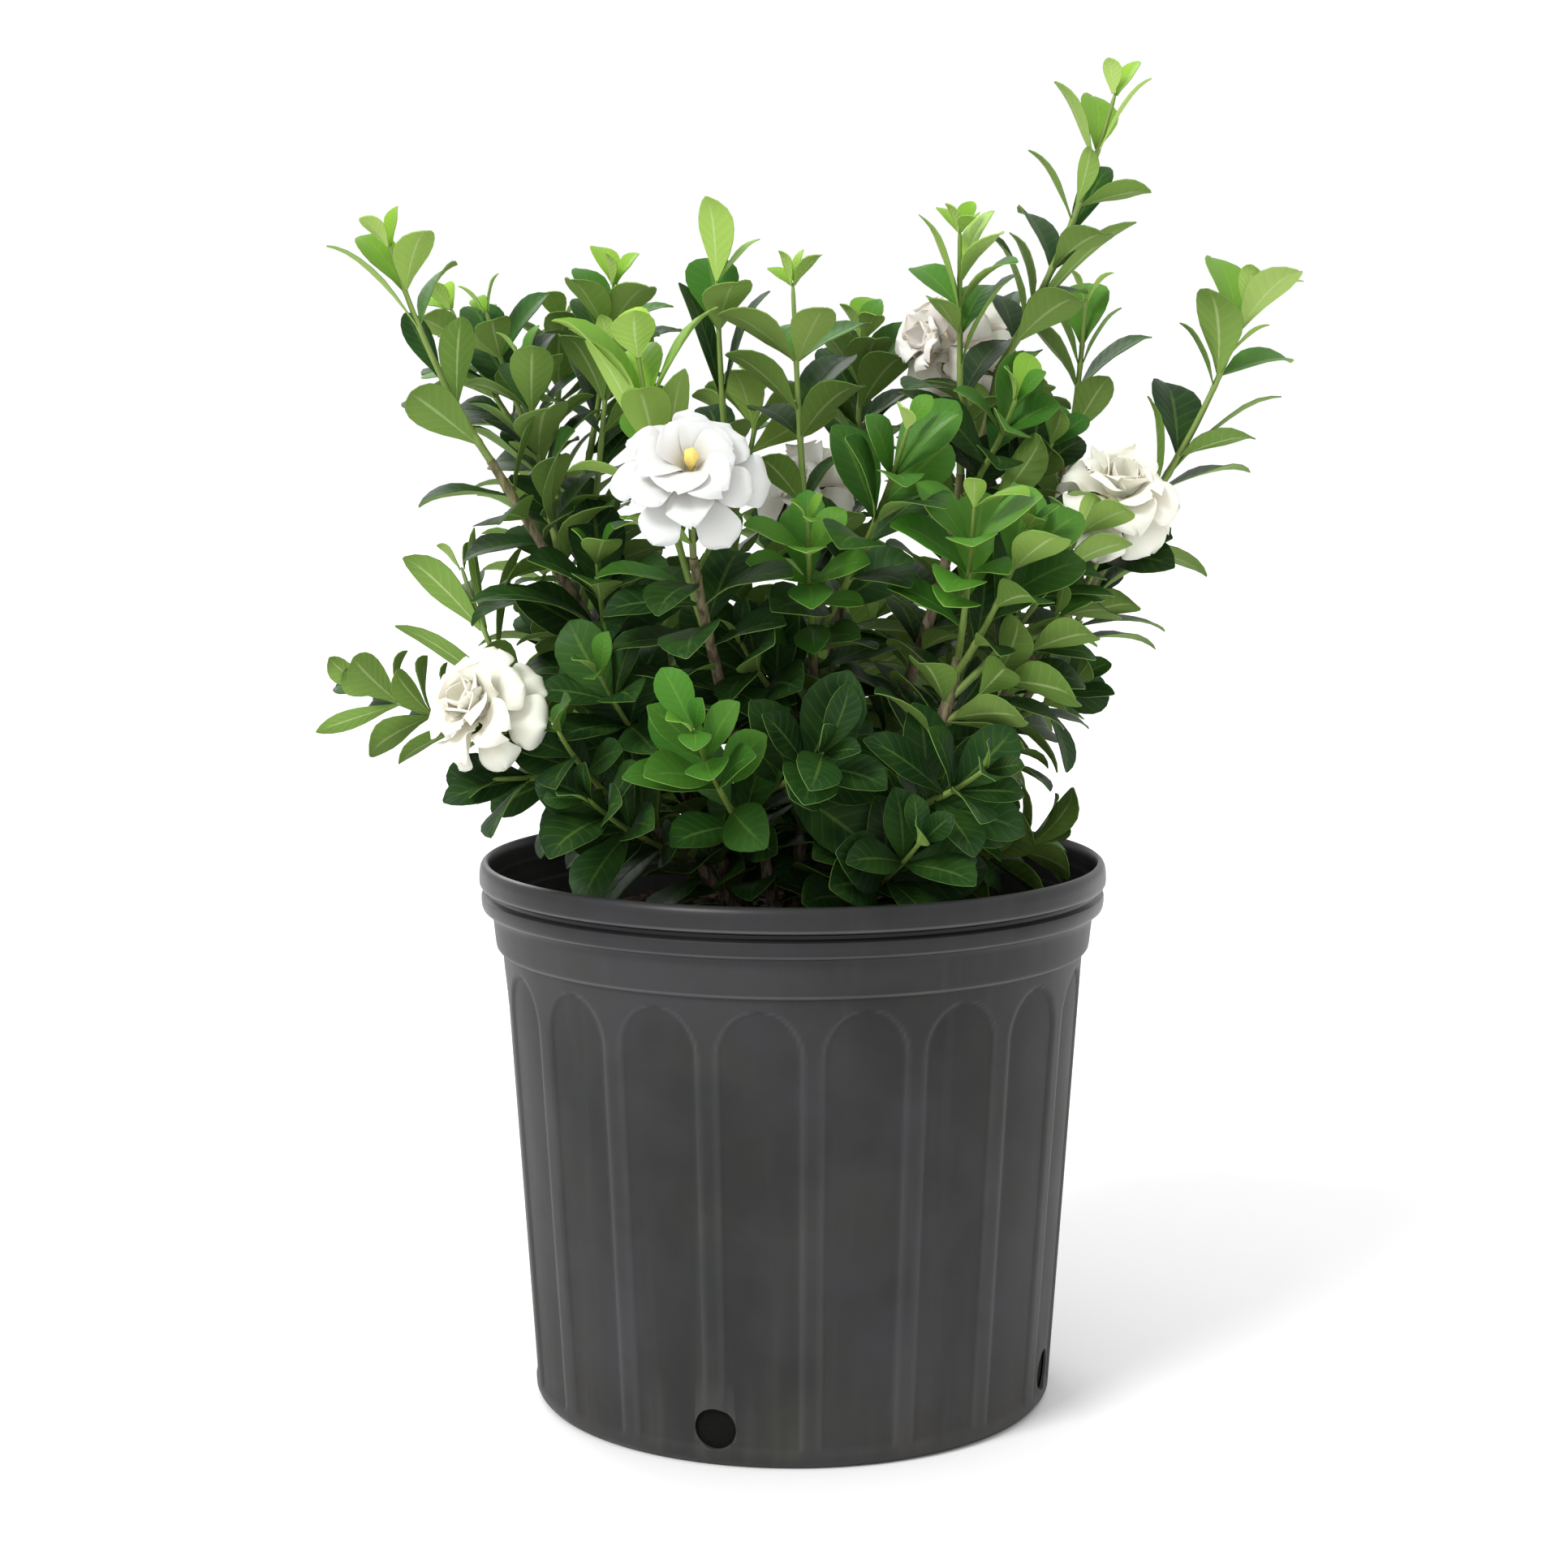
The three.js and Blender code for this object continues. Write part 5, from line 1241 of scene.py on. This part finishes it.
leaf = Finish("leaf_skin", specular_ior_level=0.12)
upper_face, leaf_age_and_shade, leaf_chance = leaf.attribute("tone")
across, along, _ = leaf.split("ShaderNodeSeparateXYZ", leaf.pattern())
off_midrib = (2 * across - 1).size()
midrib = leaf.steps(off_midrib, 0.1, 0.02) * leaf.steps(along, 1.0, 0.7)
sweep = (along * 8 - off_midrib * 1.7 + 0.25 * leaf_chance).rest()
vein = leaf.steps((sweep - 0.5).size(), 0.13, 0.0) * leaf.steps(off_midrib, 0.98, 0.8)
swell = leaf.steps((sweep - 0.5).size(), 0.0, 0.5)
mottle = leaf.noise(60, 1)
old_top, mid_top, new_top, under_old, under_new = [
    leaf.blend(leaf_chance, dark, light) for dark, light in [
        ((19, 43, 17), (30, 62, 24)), ((50, 104, 29), (80, 132, 42)), ((118, 166, 42), (152, 190, 66)),
        ((106, 140, 60), (130, 160, 80)), ((148, 182, 82), (170, 198, 106)),
    ]
]
# The leaf's age also carries painted shade low in the crown and painted light high in it.
grown = leaf.blend(leaf.steps(leaf_age_and_shade, 0.2, 0.6), mid_top, old_top)
top = leaf.blend(leaf.steps(leaf_age_and_shade, 0.22, 0.02), grown, new_top)
top = leaf.blend(leaf.steps(mottle, 0.35, 0.7, 0, 0.14), top, (78, 116, 36))
top = leaf.blend(vein * 0.1, top, (110, 146, 62))
top = leaf.blend(midrib * 0.18, top, (136, 168, 80))
under = leaf.blend(leaf.steps(leaf_age_and_shade, 0.05, 0.5), under_new, under_old)
under = leaf.blend(vein * 0.3, under, (146, 170, 98))
under = leaf.blend(midrib * 0.55, under, (192, 208, 146))
leaf.feed(
    Base_Color=leaf.blend(upper_face, under, top),
    Roughness=0.64 - 0.2 * upper_face + 0.08 * mottle + 0.06 * midrib,
)
leaf.bump((swell * 0.35 - midrib * 0.9) * (2 * upper_face - 1), 0.3, 0.0006)

twig = Finish("green_twig", specular_ior_level=0.4)
_, twig_age, _ = twig.attribute("tone")
twig_grain = twig.noise(500, 3, stretch=(1, 1, 0.2))
green_twig = twig.blend(twig_grain, (104, 130, 58), (136, 160, 78))
brown_twig = twig.blend(twig_grain, (102, 88, 64), (134, 120, 90))
twig.feed(
    Base_Color=twig.blend(twig.steps(twig_age, 0.35, 0.95), green_twig, brown_twig),
    Roughness=0.5 + 0.25 * twig_age,
)
twig.bump(twig_grain, 0.35, 0.0004)

# The leaves darken downwards from the middle of the crown with painted shade and get paler above it with
# painted light, less so on young shoots; both are added to a leaf's age.
MIDDLE_HEIGHT = 430
PAINTED_SHADE_SPAN = 130
PAINTED_LIGHT_SPAN = 80
CALYX_LOBES = 6
TWIG_SIDES = 8
LEAF_LOOK_SEED = 3000
INNER_LOOK_SEED = 4000
for shoot in shoots:
    skins = Skins()
    draw = random_source(LEAF_LOOK_SEED + shoot.seed)
    joints = [place for place, leaves in shoot.nodes if any(leaves)]

    def girth(share):
        radius = shoot.base_radius + (shoot.tip_radius - shoot.base_radius) * share
        knot = sum(math.exp(-((share - place) * shoot.length / 1.3) ** 2) for place in joints)
        if shoot.calyx is None:
            return radius * (1 + 0.18 * min(1, knot)) * (1 - 0.5 * max(0, share - 0.97) / 0.03)
        swell = min(1, max(0, (share - 1) * shoot.length / CALYX_LENGTH + 1))
        return radius + (CALYX_RADIUS - radius) * swell ** 1.4

    def twig_tone(share):
        return 1, min(1, max(0, 0.25 + 0.75 * shoot.age - 0.7 * share)), 0.5

    shares = np.linspace(0, 1, max(10, int(shoot.length / 2)))
    add_stem(skins, shoot.curve, girth, shares, twig_tone, 1, TWIG_SIDES)
    for blade, place in shoot.blades:
        below = (1 - place) * shoot.length
        # Below the middle of the crown depth is painted shade, above it painted light.
        lower = MIDDLE_HEIGHT - blade.base[2]
        depth = min(1, max(-0.65, lower / (PAINTED_SHADE_SPAN if lower > 0 else PAINTED_LIGHT_SPAN)))
        depth *= 1 if shoot.age > 0.15 else 0.45
        age = min(1, 0.04 + shoot.age * (0.4 + below / 42) + 0.3 * depth + 0.12 * (draw() - 0.5))
        add_leaf(skins, blade, max(0, age), draw())
    if shoot.calyx is not None:
        axis, right, upward = bloom_axes(shoot.calyx)
        top_of_calyx = shoot.curve.point(1)
        for lobe in range(CALYX_LOBES):
            outward = outward_at(right, upward, 360 / CALYX_LOBES * lobe + 20)
            base = top_of_calyx + outward * (CALYX_RADIUS - 0.4) - axis * 0.8
            tip = top_of_calyx + outward * (6.5 + draw()) + axis * (11 + 3 * draw())
            lobe_blade = Blade(base, tip, -outward, 0, -20, 20, 2.6, 0, leaf_outline)
            add_leaf(skins, lobe_blade, 0.3, draw())
    shoot_piece = skins.piece("leafy_" + shoot.name, [leaf.material, twig.material], 60)
    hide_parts(shoot.name)

inner = Skins()
draw = random_source(INNER_LOOK_SEED)
for branch in branch_shoots:
    for blade, _ in branch.blades:
        add_leaf(inner, blade, 0.85 + 0.15 * draw(), draw())
inner_piece = inner.piece("inner_leaves", [leaf.material], 60)
